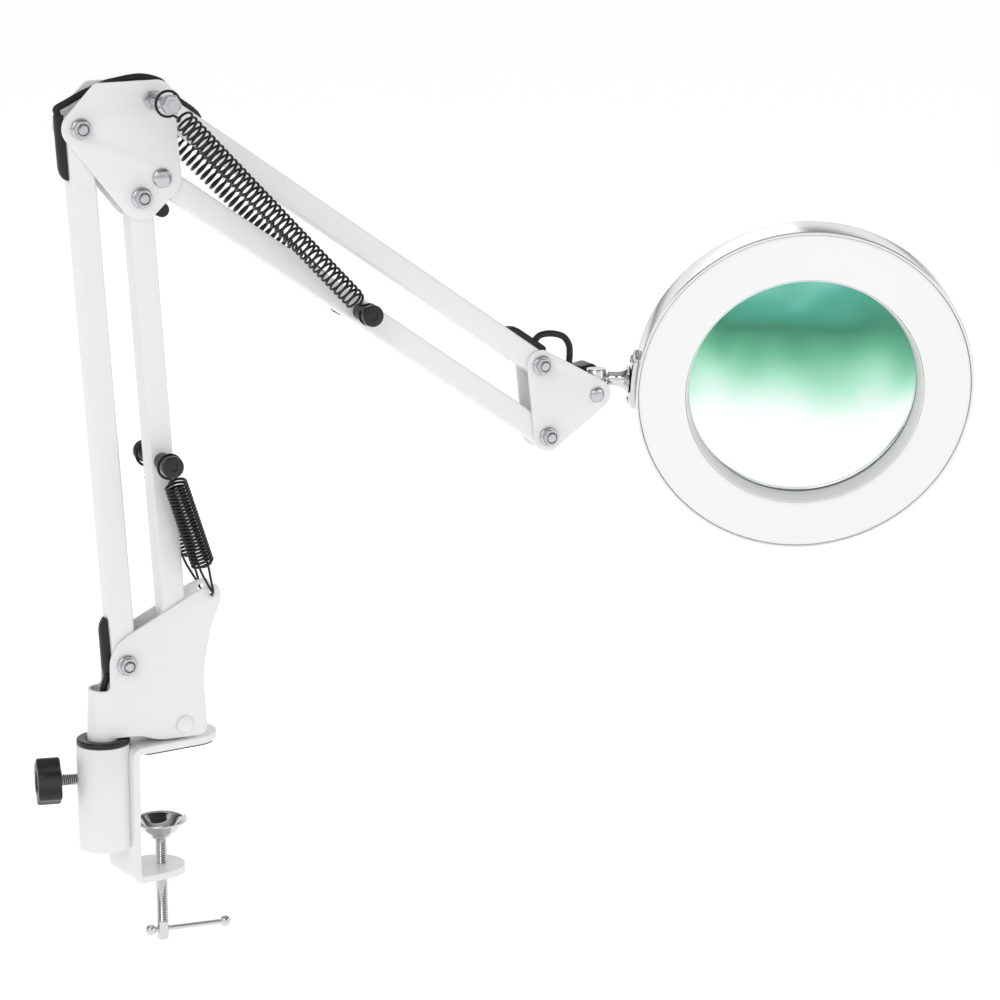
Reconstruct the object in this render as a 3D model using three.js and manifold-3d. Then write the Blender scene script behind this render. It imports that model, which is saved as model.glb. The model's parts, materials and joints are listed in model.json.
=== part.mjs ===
// Clamp-on magnifying lamp: a bench clamp, two spring-balanced parallelogram arms and a ring-light lens head.
// Millimetres, +Z up. The arms lie in the XZ plane. The origin is on the face of the clamp's upper pad,
// in the arms' middle plane, 25 mm in front of the post's axis.
import * as THREE from 'three';
import { mergeVertices } from 'three/addons/utils/BufferGeometryUtils.js';
import Module from 'manifold-3d';

const wasm = await Module();
wasm.setup();

// ---------------------------------------------------------------- driving dimensions
const DEG = Math.PI / 180;
const GAP = 0.3;                    // clearance between neighbouring pieces
const PLATE = 1.5;                  // sheet thickness of every bracket plate
const TUBE = 12.7;                  // outside width of the square arm tubes
const TUBE_WALL = 1.2;
const HALF = TUBE / 2;
const INNER = HALF + GAP;           // inner face of a bracket plate, from the middle plane
const OUTER = INNER + PLATE;        // outer face of a bracket plate
const BOLT_R = 2.5;
const HOLE_R = BOLT_R + GAP;

const POST_X = -25;                 // vertical axis of the post and clamp sleeve
const CLAMP_TURN = 8 * DEG;         // clamp turned from the arms' plane
const LOWER_ARM = 271.1;            // pivot to pivot
const LOWER_LEAN = 93.36 * DEG;     // lower arm's direction from +X
const UPPER_ARM = 257.6;
const UPPER_DROP = -35.08 * DEG;
const HEAD_YAW = -22 * DEG;         // stem turned towards the front
const HEAD_NOD = 11 * DEG;          // light face turned down
const HEAD_DROP = 3 * DEG;          // stem dipping from the swivel

const point = (x, z) => ({ x, z });
const plus = (p, x, z) => point(p.x + x, p.z + z);
const polar = (p, length, angle) => plus(p, length * Math.cos(angle), length * Math.sin(angle));

// Pivots of the two parallelograms, in the XZ plane.
const baseLeft = point(POST_X + 11, 48.3);
const baseRight = plus(baseLeft, 30, -35);
const elbowLeft = polar(baseLeft, LOWER_ARM, LOWER_LEAN);
const elbowBottom = plus(elbowLeft, 30, -35);
const elbowRight = plus(elbowLeft, 40.75, -25.8);
const elbowTop = plus(elbowRight, -4, 38.5);
const headBottom = polar(elbowRight, UPPER_ARM, UPPER_DROP);
const headTop = plus(headBottom, -4, 38.5);
const tiltPivot = plus(headBottom, 28.55, 20.25);

// ---------------------------------------------------------------- materials
const paint = { color: 0xf2f2f1, roughness: 0.35, metalness: 0.0 };
const blackPlastic = { color: 0x1a1a1b, roughness: 0.45, metalness: 0.0 };
const rubber = { color: 0x161616, roughness: 0.8, metalness: 0.0 };
const chrome = { color: 0xd2d3d6, roughness: 0.12, metalness: 1.0 };
const zinc = { color: 0xb9bbbf, roughness: 0.3, metalness: 1.0 };
const springSteel = { color: 0x202022, roughness: 0.35, metalness: 0.7 };
const silver = { color: 0xdfe0e2, roughness: 0.2, metalness: 0.8 };
const opal = { color: 0xf4f4f2, roughness: 0.5, metalness: 0.0 };
const boardWhite = { color: 0xe6e8e4, roughness: 0.6, metalness: 0.0 };
const glass = { color: 0x9fd8c4, roughness: 0.03, metalness: 0.0, transparent: true, opacity: 0.35 };

const lamp = new THREE.Group();

function add(name, geometry, look, parent = lamp) {
  const mesh = new THREE.Mesh(geometry, new THREE.MeshStandardMaterial(look));
  mesh.name = name;
  parent.add(mesh);
  return mesh;
}

// ---------------------------------------------------------------- solids
function solid(geometry) {
  const bare = geometry.clone();
  bare.deleteAttribute('normal');
  bare.deleteAttribute('uv');
  const merged = mergeVertices(bare, 1e-4);
  const vertProperties = new Float32Array(merged.attributes.position.array);
  const triVerts = new Uint32Array(merged.index.array);
  return new wasm.Manifold(new wasm.Mesh({ numProp: 3, vertProperties, triVerts }));
}

function geometryOf(manifold) {
  const mesh = manifold.getMesh();
  const geometry = new THREE.BufferGeometry();
  geometry.setAttribute('position', new THREE.BufferAttribute(mesh.vertProperties, 3));
  geometry.setIndex(new THREE.BufferAttribute(mesh.triVerts, 1));
  return geometry;
}

const join = (...pieces) => geometryOf(pieces.map(solid).reduce((a, b) => a.add(b)));
const cut = (piece, ...tools) => geometryOf(tools.map(solid).reduce((a, b) => a.subtract(b), solid(piece)));
const meet = (piece, other) => geometryOf(solid(piece).intersect(solid(other)));

// Extrudes an XZ outline along Y, from y0 to y1.
function prismY(shape, y0, y1) {
  const geometry = new THREE.ExtrudeGeometry(shape, { depth: y1 - y0, bevelEnabled: false, curveSegments: 4 });
  return geometry.rotateX(Math.PI / 2).translate(0, y1, 0);
}

// Extrudes an XY outline along Z, from z0 to z1.
function prismZ(shape, z0, z1) {
  const geometry = new THREE.ExtrudeGeometry(shape, { depth: z1 - z0, bevelEnabled: false, curveSegments: 5 });
  return geometry.translate(0, 0, z0);
}

const cylinderY = (p, r, y0, y1, sides = 12) =>
  new THREE.CylinderGeometry(r, r, y1 - y0, sides).translate(p.x, (y0 + y1) / 2, p.z);
const cylinderZ = (x, y, r, z0, z1, sides = 24) =>
  new THREE.CylinderGeometry(r, r, z1 - z0, sides).rotateX(Math.PI / 2).translate(x, y, (z0 + z1) / 2);
const block = (x0, x1, y0, y1, z0, z1) =>
  new THREE.BoxGeometry(x1 - x0, y1 - y0, z1 - z0).translate((x0 + x1) / 2, (y0 + y1) / 2, (z0 + z1) / 2);

// Turns a profile of [radius, height] pairs about +Y, whichever way round it is listed.
function turnedUp(profile, sides) {
  let area = 0;
  profile.forEach(([r, h], i) => {
    const [nextR, nextH] = profile[(i + 1) % profile.length];
    area += r * nextH - nextR * h;
  });
  const ordered = area > 0 ? profile : [...profile].reverse();
  return new THREE.LatheGeometry(ordered.map(([r, h]) => new THREE.Vector2(r, h)), sides);
}
const turned = (profile, sides = 24) => turnedUp(profile, sides).rotateX(Math.PI / 2);
const turnedY = (p, profile, sides = 16) => turnedUp(profile, sides).translate(p.x, 0, p.z);

// The outline that a band stretched round several discs would take.
function bandOutline(discs, sides = 20) {
  const points = [];
  for (const disc of discs) {
    for (let i = 0; i < sides; i += 1) {
      const a = (i / sides) * 2 * Math.PI;
      points.push(point(disc.x + disc.r * Math.cos(a), disc.z + disc.r * Math.sin(a)));
    }
  }
  points.sort((a, b) => a.x - b.x || a.z - b.z);
  const turn = (o, a, b) => (a.x - o.x) * (b.z - o.z) - (a.z - o.z) * (b.x - o.x);
  const half = (list) => {
    const chain = [];
    for (const p of list) {
      while (chain.length > 1 && turn(chain[chain.length - 2], chain[chain.length - 1], p) <= 1e-6) chain.pop();
      chain.push(p);
    }
    chain.pop();
    return chain;
  };
  const outline = [...half(points), ...half([...points].reverse())];
  return new THREE.Shape(outline.map((p) => new THREE.Vector2(p.x, p.z)));
}
const disc = (p, r) => ({ x: p.x, z: p.z, r });

// A polygon whose corners are rounded by the given radius: [x, z, radius] for each corner.
function roundedOutline(corners) {
  const shape = new THREE.Shape();
  const count = corners.length;
  const towards = (from, to, distance) => {
    const length = Math.hypot(to[0] - from[0], to[1] - from[1]);
    const t = Math.min(distance / length, 0.5);
    return [from[0] + (to[0] - from[0]) * t, from[1] + (to[1] - from[1]) * t];
  };
  corners.forEach((corner, i) => {
    const before = towards(corner, corners[(i + count - 1) % count], corner[2]);
    const after = towards(corner, corners[(i + 1) % count], corner[2]);
    if (i === 0) shape.moveTo(before[0], before[1]);
    else shape.lineTo(before[0], before[1]);
    if (corner[2] > 0) shape.quadraticCurveTo(corner[0], corner[1], after[0], after[1]);
  });
  shape.closePath();
  return shape;
}

function circleShape(r, sides) {
  const shape = new THREE.Shape();
  for (let i = 0; i < sides; i += 1) {
    const a = (i / sides) * 2 * Math.PI;
    if (i === 0) shape.moveTo(r, 0);
    else shape.lineTo(r * Math.cos(a), r * Math.sin(a));
  }
  shape.closePath();
  return shape;
}

// A round wire or cable along a smooth curve through the given points.
function rod(points, r, sides, steps) {
  const path = new THREE.CatmullRomCurve3(points.map(([x, y, z]) => new THREE.Vector3(x, y, z)), false, 'centripetal');
  return new THREE.ExtrudeGeometry(circleShape(r, sides), { steps, bevelEnabled: false, extrudePath: path });
}

// ---------------------------------------------------------------- clamp
const JAW_HALF = 16;                // half the width of the clamp's strip
const STRIP = 3.5;                  // its thickness
const SPINE_X = 8.8;                // outer face of the spine, from the post's axis
const JAW_TOP = 5.3;
const LOWER_JAW_TOP = -63.7;
const UPPER_JAW_TIP = 62.5;
const LOWER_JAW_TIP = 43;
const SLEEVE_R = 13.8;
const SLEEVE_BORE = 10.5;
const FLANGE_R = 13.6;              // the bushing's flange
const SLEEVE_TOP = 6.6;
const SLEEVE_BOTTOM = -48.2;
const SCREW_X = 31;
const SCREW_R = 3;
const LOCK_Z = -11.7;
const LOCK_ANGLE = 161 * DEG;       // lock screw's direction in the clamp's own frame

const clamp = new THREE.Group();
clamp.position.set(POST_X, 0, 0);
clamp.rotation.z = CLAMP_TURN;
lamp.add(clamp);

function jawPlan(tip, half) {
  const shape = new THREE.Shape();
  shape.moveTo(SPINE_X, -half);
  shape.lineTo(tip - half, -half);
  shape.absarc(tip - half, 0, half, -Math.PI / 2, Math.PI / 2, false);
  shape.lineTo(SPINE_X, half);
  shape.closePath();
  return shape;
}

function clampFrame() {
  const low = LOWER_JAW_TOP - STRIP;
  const bend = 5;
  const profile = roundedOutline([
    [UPPER_JAW_TIP, JAW_TOP, 0], [SPINE_X, JAW_TOP, bend], [SPINE_X, low, bend], [LOWER_JAW_TIP, low, 0],
    [LOWER_JAW_TIP, LOWER_JAW_TOP, 0], [SPINE_X + STRIP, LOWER_JAW_TOP, bend - STRIP],
    [SPINE_X + STRIP, JAW_TOP - STRIP, bend - STRIP], [UPPER_JAW_TIP, JAW_TOP - STRIP, 0],
  ]);
  const middle = (JAW_TOP + LOWER_JAW_TOP) / 2;
  const plan = join(prismZ(jawPlan(UPPER_JAW_TIP, JAW_HALF), middle, JAW_TOP + 1),
    prismZ(jawPlan(LOWER_JAW_TIP, JAW_HALF - 1), low - 1, middle));
  const strip = meet(prismY(profile, -JAW_HALF, JAW_HALF), plan);
  const sleeve = cut(cylinderZ(0, 0, SLEEVE_R, SLEEVE_BOTTOM, SLEEVE_TOP, 24),
    block(SPINE_X + 1, 20, -20, 20, SLEEVE_BOTTOM - 1, SLEEVE_TOP + 1));
  const lockHole = new THREE.CylinderGeometry(SCREW_R + GAP, SCREW_R + GAP, 10, 12)
    .rotateZ(Math.PI / 2 + LOCK_ANGLE).translate(12 * Math.cos(LOCK_ANGLE), 12 * Math.sin(LOCK_ANGLE), LOCK_Z);
  return cut(join(strip, sleeve), cylinderZ(0, 0, SLEEVE_BORE, SLEEVE_BOTTOM - 1, SLEEVE_TOP + 9, 24),
    lockHole,
    cylinderZ(SCREW_X, 0, SCREW_R + GAP, low - 1, LOWER_JAW_TOP + 1, 16));
}
add('clamp_frame', clampFrame(), paint, clamp);

const FLANGE_TOP = SLEEVE_TOP + GAP + 2.7;
add('sleeve_bushing', turned([
  [OUTER + GAP, SLEEVE_BOTTOM + 1], [SLEEVE_BORE - GAP, SLEEVE_BOTTOM + 1], [SLEEVE_BORE - GAP, SLEEVE_TOP + GAP],
  [FLANGE_R, SLEEVE_TOP + GAP], [FLANGE_R, FLANGE_TOP - 0.8], [FLANGE_R - 1, FLANGE_TOP],
  [OUTER + GAP, FLANGE_TOP], [OUTER + GAP, SLEEVE_BOTTOM + 1],
], 24), blackPlastic, clamp);

add('jaw_pad', prismZ(roundedOutline([
  [SPINE_X + 8, -13, 2], [UPPER_JAW_TIP - 2, -13, 12], [UPPER_JAW_TIP - 2, 13, 12], [SPINE_X + 8, 13, 2],
]), 0, JAW_TOP - STRIP - GAP), rubber, clamp);

// Pressure cup, screw and sliding bar.
const CUP_RIM = -39.7;
add('pressure_cup', turned([
  [2.3, -6.4], [4.2, -6.2], [8.2, -4.4], [11.2, -1.4], [12.2, -0.5], [14, 0], [14, -1], [12.4, -1.8],
  [9, -5.8], [5.6, -7.6], [5.2, -9.6], [3.3, -9.6], [3.3, -7.6], [2.3, -7.6], [2.3, -6.4],
], 20), chrome, clamp).position.set(SCREW_X, 0, CUP_RIM);

const SCREW_END = -105;
const BAR_Z = -99.8;
const BAR_R = 1.35;
const BAR_TURN = -13 * DEG;
const screwGroup = new THREE.Group();
screwGroup.position.set(SCREW_X, 0, 0);
screwGroup.rotation.z = BAR_TURN;
clamp.add(screwGroup);
const screwBlank = turned([
  [0, CUP_RIM - 4.4], [2.4, CUP_RIM - 4.6], [3.1, CUP_RIM - 5.6], [1.9, CUP_RIM - 6.05], [1.9, CUP_RIM - 7.95],
  [2.6, CUP_RIM - 8.1], [SCREW_R, CUP_RIM - 9.9], [SCREW_R, SCREW_END + 0.6], [SCREW_R - 0.6, SCREW_END],
  [0, SCREW_END],
], 14);
const barBore = new THREE.CylinderGeometry(BAR_R + GAP, BAR_R + GAP, 10, 12).rotateZ(Math.PI / 2)
  .translate(0, 0, BAR_Z);
add('clamp_screw', cut(screwBlank, barBore), chrome, screwGroup);

const BAR_LEFT = -6.4;
const BAR_RIGHT = 33.4;
const BALL_R = 2.9;
const ball = (x) => new THREE.SphereGeometry(BALL_R, 10, 7).translate(x, 0, BAR_Z);
const bar = new THREE.CylinderGeometry(BAR_R, BAR_R, BAR_RIGHT - BAR_LEFT, 8).rotateZ(Math.PI / 2)
  .translate((BAR_LEFT + BAR_RIGHT) / 2, 0, BAR_Z);
add('tommy_bar', join(bar, ball(BAR_LEFT), ball(BAR_RIGHT)), chrome, screwGroup);

// Lock screw with a lobed knob; both are drawn along +X and turned to the screw's direction.
function lobedOutline(r, lobe, count, steps) {
  const points = [];
  for (let i = 0; i < steps; i += 1) {
    const a = (i / steps) * 2 * Math.PI;
    const radius = r + lobe * Math.cos(count * a);
    points.push(new THREE.Vector2(radius * Math.cos(a), radius * Math.sin(a)));
  }
  return new THREE.Shape(points);
}
const lock = new THREE.Group();
lock.position.set(0, 0, LOCK_Z);
lock.rotation.z = LOCK_ANGLE;
clamp.add(lock);
const LOCK_TIP = SLEEVE_BORE + 0.1;
const KNOB_IN = 22.4;
const KNOB_OUT = 34.4;
const lockRod = new THREE.CylinderGeometry(SCREW_R, SCREW_R, KNOB_OUT - 4 - LOCK_TIP, 16).rotateZ(Math.PI / 2)
  .translate((KNOB_OUT - 4 + LOCK_TIP) / 2, 0, 0);
add('lock_screw', lockRod, zinc, lock);
const lockKnob = prismZ(lobedOutline(11.4, 0.9, 6, 36), KNOB_IN, KNOB_OUT).rotateY(Math.PI / 2);
const lockSocket = new THREE.CylinderGeometry(SCREW_R + GAP, SCREW_R + GAP, 12, 16).rotateZ(Math.PI / 2)
  .translate(KNOB_OUT - 3.7 - 6, 0, 0);
add('lock_knob', cut(lockKnob, lockSocket), blackPlastic, lock);

// ---------------------------------------------------------------- fasteners
// A bolt with a flanged head behind, a shank through both plates and its end showing in front of the nut.
function boltGeometry(p) {
  const head = new THREE.CylinderGeometry(4.4, 4.4, 3.6, 6).translate(p.x, OUTER + GAP + 2.7, p.z);
  const flange = cylinderY(p, 5.3, OUTER + GAP, OUTER + GAP + 1, 16);
  return join(cylinderY(p, BOLT_R, -OUTER - 5.4, OUTER + 3, 12), head, flange);
}
function nutGeometry(p) {
  const hex = new THREE.CylinderGeometry(4.4, 4.4, 3.6, 6).translate(p.x, -OUTER - GAP - 2.4, p.z);
  const flange = cylinderY(p, 5.3, -OUTER - GAP - 1, -OUTER - GAP, 16);
  return cut(join(hex, flange), cylinderY(p, BOLT_R + 0.15, -OUTER - 9, -OUTER + 1, 12));
}
// A rivet with a low domed head on each side.
function rivetGeometry(p, headR, headH) {
  const side = OUTER + GAP;
  return turnedY(p, [
    [0, -side - headH], [headR * 0.7, -side - headH * 0.8], [headR, -side - headH * 0.25], [headR, -side],
    [BOLT_R, -side], [BOLT_R, side], [headR, side], [headR, side + headH * 0.25],
    [headR * 0.7, side + headH * 0.8], [0, side + headH],
  ], 12);
}

// ---------------------------------------------------------------- swivel bracket
const POST_TOP = 35.5;
const BRACKET_LOW = 6.5;
const BRACKET_RISE = 10.4;          // lower edge next to the post, above the bushing's flange
const EAR = plus(baseLeft, 45.5, 32);

function baseBracket() {
  const at = (x, z, r) => [baseLeft.x + x, baseLeft.z + z, r];
  const low = BRACKET_LOW - baseLeft.z;
  const rise = BRACKET_RISE - baseLeft.z;
  const outline = roundedOutline([
    at(-8.7, rise, 0), at(6, rise, 4), at(16, low, 6), at(42.5, low, 6), at(40.5, -8, 10), at(45.8, 17, 8), at(51.6, 29, 5), at(49.5, 37.5, 4),
    at(40, 35, 5), at(22, 25.6, 6), at(-3.6, 12.6, 7), at(-8.7, 4.5, 5),
  ]);
  const plates = join(prismY(outline, -OUTER, -INNER), prismY(outline, INNER, OUTER));
  const post = cylinderZ(POST_X, 0, OUTER, SLEEVE_BOTTOM + 1, POST_TOP, 24);
  const fold = block(POST_X, baseLeft.x - 8.7 + 0.5, -OUTER, OUTER, BRACKET_RISE, POST_TOP);
  const foldHollow = block(POST_X, baseLeft.x - 8.7 + 1, -INNER, INNER, BRACKET_RISE - 1, POST_TOP + 1);
  const body = join(plates, post, cut(fold, foldHollow));
  const holes = [baseLeft, baseRight].map((p) => cylinderY(p, HOLE_R, -20, 20));
  return cut(body, cylinderZ(POST_X, 0, INNER, SLEEVE_BOTTOM, POST_TOP + 1, 24), ...holes,
    cylinderY(EAR, 1.8, -20, 20, 12));
}
add('base_bracket', baseBracket(), paint);
add('base_bolt', boltGeometry(baseLeft), zinc);
add('base_nut', nutGeometry(baseLeft), zinc);
add('base_pin', rivetGeometry(baseRight, 4.4, 1.2), paint);

// ---------------------------------------------------------------- arm tubes
function tubeGeometry(a, b, extraHoles = []) {
  const length = Math.hypot(b.x - a.x, b.z - a.z);
  const ux = (b.x - a.x) / length;
  const uz = (b.z - a.z) / length;
  const inside = HALF - TUBE_WALL;
  const corner = (along, across) => new THREE.Vector2(a.x + ux * along - uz * across, a.z + uz * along + ux * across);
  const hollow = new THREE.Shape([corner(-9, -inside), corner(length + 9, -inside), corner(length + 9, inside),
    corner(-9, inside)]);
  const outside = prismY(bandOutline([disc(a, HALF), disc(b, HALF)], 12), -HALF, HALF);
  const holes = [a, b].map((p) => cylinderY(p, HOLE_R, -10, 10));
  return cut(outside, prismY(hollow, -inside, inside), ...holes, ...extraHoles);
}

// A point given along a tube from one of its pivots, and out from its middle line.
function onTube(from, angle, along, out) {
  return point(from.x + along * Math.cos(angle) - out * Math.sin(angle),
    from.z + along * Math.sin(angle) + out * Math.cos(angle));
}

const PEG_HOLE = 2.8;
const lowerPeg = polar(baseRight, 138, LOWER_LEAN);
const upperPeg = polar(elbowRight, 128.5, UPPER_DROP);
const pegHole = (p) => cylinderY(p, PEG_HOLE, -10, 10, 12);
add('lower_tube_left', tubeGeometry(baseLeft, elbowLeft), paint);
add('lower_tube_right', tubeGeometry(baseRight, elbowBottom, [pegHole(lowerPeg)]), paint);
add('upper_tube_top', tubeGeometry(elbowTop, headTop), paint);
add('upper_tube_bottom', tubeGeometry(elbowRight, headBottom, [pegHole(upperPeg)]), paint);

// Spring pegs: a shouldered plastic peg in each side wall of a tube.
const PEG_END = 24;
function pegGeometry(p, side) {
  const profile = [
    [0, HALF - TUBE_WALL - 1], [PEG_HOLE - GAP, HALF - TUBE_WALL - 1], [PEG_HOLE - GAP, HALF + GAP],
    [4.4, HALF + GAP], [4.4, PEG_END - 4], [5.6, PEG_END - 3.4], [5.6, PEG_END - 0.8], [4.8, PEG_END], [0, PEG_END],
  ];
  const geometry = turnedUp(profile, 12);
  if (side < 0) geometry.rotateX(Math.PI);
  return geometry.translate(p.x, 0, p.z);
}
for (const [label, side] of [['front', -1], ['rear', 1]]) {
  add(`lower_peg_${label}`, pegGeometry(lowerPeg, side), blackPlastic);
  add(`upper_peg_${label}`, pegGeometry(upperPeg, side), blackPlastic);
}

// ---------------------------------------------------------------- elbow
const elbowOutline = () => bandOutline([disc(elbowLeft, 9.4), disc(elbowBottom, 11), disc(elbowRight, 10.2),
  disc(plus(elbowLeft, 39.3, 14), 8.2), disc(plus(elbowLeft, 9.9, 16.7), 5)], 16);
function plateGeometry(outline, y0, y1, pivots) {
  return cut(prismY(outline, y0, y1), ...pivots.map((p) => cylinderY(p, HOLE_R, -20, 20)));
}
const elbowPivots = [elbowLeft, elbowBottom, elbowRight, elbowTop];
add('elbow_plate_front', plateGeometry(elbowOutline(), -OUTER, -INNER, elbowPivots), paint);
add('elbow_plate_rear', plateGeometry(elbowOutline(), INNER, OUTER, elbowPivots), paint);
add('elbow_bolt_left', boltGeometry(elbowLeft), zinc);
add('elbow_nut_left', nutGeometry(elbowLeft), zinc);
add('elbow_bolt_bottom', boltGeometry(elbowBottom), zinc);
add('elbow_nut_bottom', nutGeometry(elbowBottom), zinc);
add('elbow_rivet', rivetGeometry(elbowRight, 4.9, 1.8), zinc);

// The long stud carries both upper springs, one on each side of the elbow.
const STUD_END = 38;
function studGeometry() {
  const nut = (y0, y1) => new THREE.CylinderGeometry(5, 5, y1 - y0, 6)
    .translate(elbowTop.x, (y0 + y1) / 2, elbowTop.z);
  const near = OUTER + GAP;
  return join(cylinderY(elbowTop, BOLT_R, -STUD_END, STUD_END, 16), nut(near, near + 3.5), nut(-near - 3.5, -near),
    nut(STUD_END - 4.5, STUD_END - 0.5), nut(0.5 - STUD_END, 4.5 - STUD_END));
}
add('spring_stud', studGeometry(), zinc);
add('elbow_stop', prismY(bandOutline([disc(plus(elbowLeft, 41.2, -41.9), 3.6)], 18),
  GAP - INNER, INNER - GAP), rubber);

// ---------------------------------------------------------------- springs
// Each spring's coil is a sleeve of its outer shape; its far hook is a piece of its own.
const SPRING_R = 5.6;
const SPRING_BORE = 4.3;
const LOWER_SPRING_R = 6.2;
function sleeveGeometry(from, to, r, bore) {
  const a = new THREE.Vector3(...from);
  const direction = new THREE.Vector3(...to).sub(a);
  const length = direction.length();
  const ring = turned([[bore, 0], [r, 0], [r, length], [bore, length], [bore, 0]], 12);
  ring.applyQuaternion(new THREE.Quaternion().setFromUnitVectors(new THREE.Vector3(0, 0, 1), direction.normalize()));
  return ring.translate(a.x, a.y, a.z);
}
const between = (a, b, t) => a.map((v, i) => v + (b[i] - v) * t);

const STUD_HOOK_Y = 31;             // where the upper spring's eye hangs on the stud
const PEG_HOOK_Y = 17;              // where a spring's eye sits on its peg
for (const [label, side] of [['front', -1], ['rear', 1]]) {
  const top = [elbowTop.x, side * STUD_HOOK_Y, elbowTop.z];
  const foot = [upperPeg.x, side * PEG_HOOK_Y, upperPeg.z];
  add(`upper_spring_${label}`, sleeveGeometry(between(top, foot, 0.075), between(top, foot, 0.945), SPRING_R,
    SPRING_BORE), springSteel);
  const eye = new THREE.TorusGeometry(6.3, 0.65, 5, 12).rotateX(Math.PI / 2)
    .translate(elbowTop.x, side * STUD_HOOK_Y, elbowTop.z);
  add(`upper_hook_${label}`, eye, springSteel);

  const head = [lowerPeg.x, side * PEG_HOOK_Y, lowerPeg.z];
  const ear = [EAR.x, side * (OUTER + 3), EAR.z + 1];
  add(`lower_spring_${label}`, sleeveGeometry(between(head, ear, 0.13), between(head, ear, 0.78), LOWER_SPRING_R,
    SPRING_BORE + 0.4), springSteel);
  add(`lower_hook_${label}`, rod([between(head, ear, 0.79), between(head, ear, 0.97),
    [EAR.x, side * (OUTER + 1.4), EAR.z - 0.2], [EAR.x, side * (INNER + 0.3), EAR.z]], 0.7, 5, 6), springSteel);
}

// ---------------------------------------------------------------- cable sleeves and cables
const BOOT_HALF = 3.4;              // half a cable sleeve's width
const BOOT_RISE = 4;                // how far it stands off the tube
function bootGeometry(from, angle, start, end, side, rise = BOOT_RISE) {
  const edge = side * (HALF + GAP);
  const top = side * (HALF + GAP + rise);
  const corners = [[start, edge, 0], [start, top - side * 0.4, 1.2], [start + 6, top, 3], [end - 6, top, 3],
    [end, edge + side, 0.8], [end, edge, 0]].map(([along, out, r]) => {
    const p = onTube(from, angle, along, out);
    return [p.x, p.z, r];
  });
  return prismY(roundedOutline(corners), -BOOT_HALF, BOOT_HALF);
}
const CABLE_R = 1.75;
const BOOT_MID = HALF + GAP + BOOT_RISE / 2;
add('boot_lower_bottom', bootGeometry(baseLeft, LOWER_LEAN, -4, 24, 1), rubber);
add('boot_lower_top', bootGeometry(elbowLeft, LOWER_LEAN + Math.PI, -7, 25, -1), rubber);
add('boot_upper_left', bootGeometry(elbowTop, UPPER_DROP, 9, 28, 1, 2.6), rubber);
add('boot_upper_right', bootGeometry(headTop, UPPER_DROP + Math.PI, 0, 25, -1, 3.4), rubber);

// The first two points of a cable leaving a sleeve's end straight along its tube.
function leaving(from, angle, end, way) {
  return [0.7, 3].map((gap) => {
    const p = onTube(from, angle, end + way * gap, BOOT_MID);
    return [p.x, 0, p.z];
  });
}
add('base_cable', rod([...leaving(baseLeft, LOWER_LEAN, -4, -1), [POST_X + 0.6, 0, POST_TOP - 2],
  [POST_X, 0, POST_TOP - 12], [POST_X, 0, 0], [POST_X, 0, -45]], CABLE_R, 6, 16), rubber);

const overElbow = (x, z) => [elbowLeft.x + x, 0, elbowLeft.z + z];
add('elbow_cable', rod([...leaving(elbowLeft, LOWER_LEAN, 7, 1), overElbow(-4, 12.2), overElbow(4, 16.2),
  overElbow(15.6, 20.6), overElbow(33, 23.2), overElbow(43.5, 20.5), ...leaving(elbowTop, UPPER_DROP, 9, -1).reverse()],
CABLE_R, 6, 20), rubber);

const nearTilt = (x, y, z) => [tiltPivot.x + x, y, tiltPivot.z + z];
add('head_cable', rod([nearTilt(-30.2, 0, 32.5), nearTilt(-25, 0.5, 33.2), nearTilt(-19.5, 1, 32.4),
  nearTilt(-14.6, 2, 30.2), nearTilt(-11.6, 2.5, 26), nearTilt(-10.8, 3, 21), nearTilt(-11.2, 3, 14),
  nearTilt(-11, 2.5, 6)], CABLE_R, 6, 16), rubber);

// ---------------------------------------------------------------- head bracket
const headOutline = () => bandOutline([disc(headTop, 8), disc(headBottom, 8), disc(tiltPivot, 8)], 16);
const headPivots = [headTop, headBottom, tiltPivot];
add('head_plate_front', plateGeometry(headOutline(), -OUTER, -INNER, headPivots), paint);
add('head_plate_rear', plateGeometry(headOutline(), INNER, OUTER, headPivots), paint);
add('head_bolt_top', boltGeometry(headTop), zinc);
add('head_nut_top', nutGeometry(headTop), zinc);
add('head_bolt_bottom', boltGeometry(headBottom), zinc);
add('head_nut_bottom', nutGeometry(headBottom), zinc);

// Tilt bolt, domed in front, screwed into the lobed knob behind.
const TILT_R = 2.4;
add('tilt_bolt', turnedY(tiltPivot, [
  [0, -OUTER - GAP - 1.8], [2.9, -OUTER - GAP - 1.4], [4.1, -OUTER - GAP - 0.5], [4.1, -OUTER - GAP],
  [TILT_R, -OUTER - GAP], [TILT_R, 19], [0, 19],
], 12), zinc);
const tiltKnobShape = lobedOutline(13.4, 1.1, 6, 36);
const tiltKnob = prismY(tiltKnobShape, OUTER + GAP, 22).translate(tiltPivot.x, 0, tiltPivot.z);
add('tilt_knob', cut(tiltKnob, cylinderY(tiltPivot, TILT_R + GAP, 0, 19 + GAP)), blackPlastic);

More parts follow.
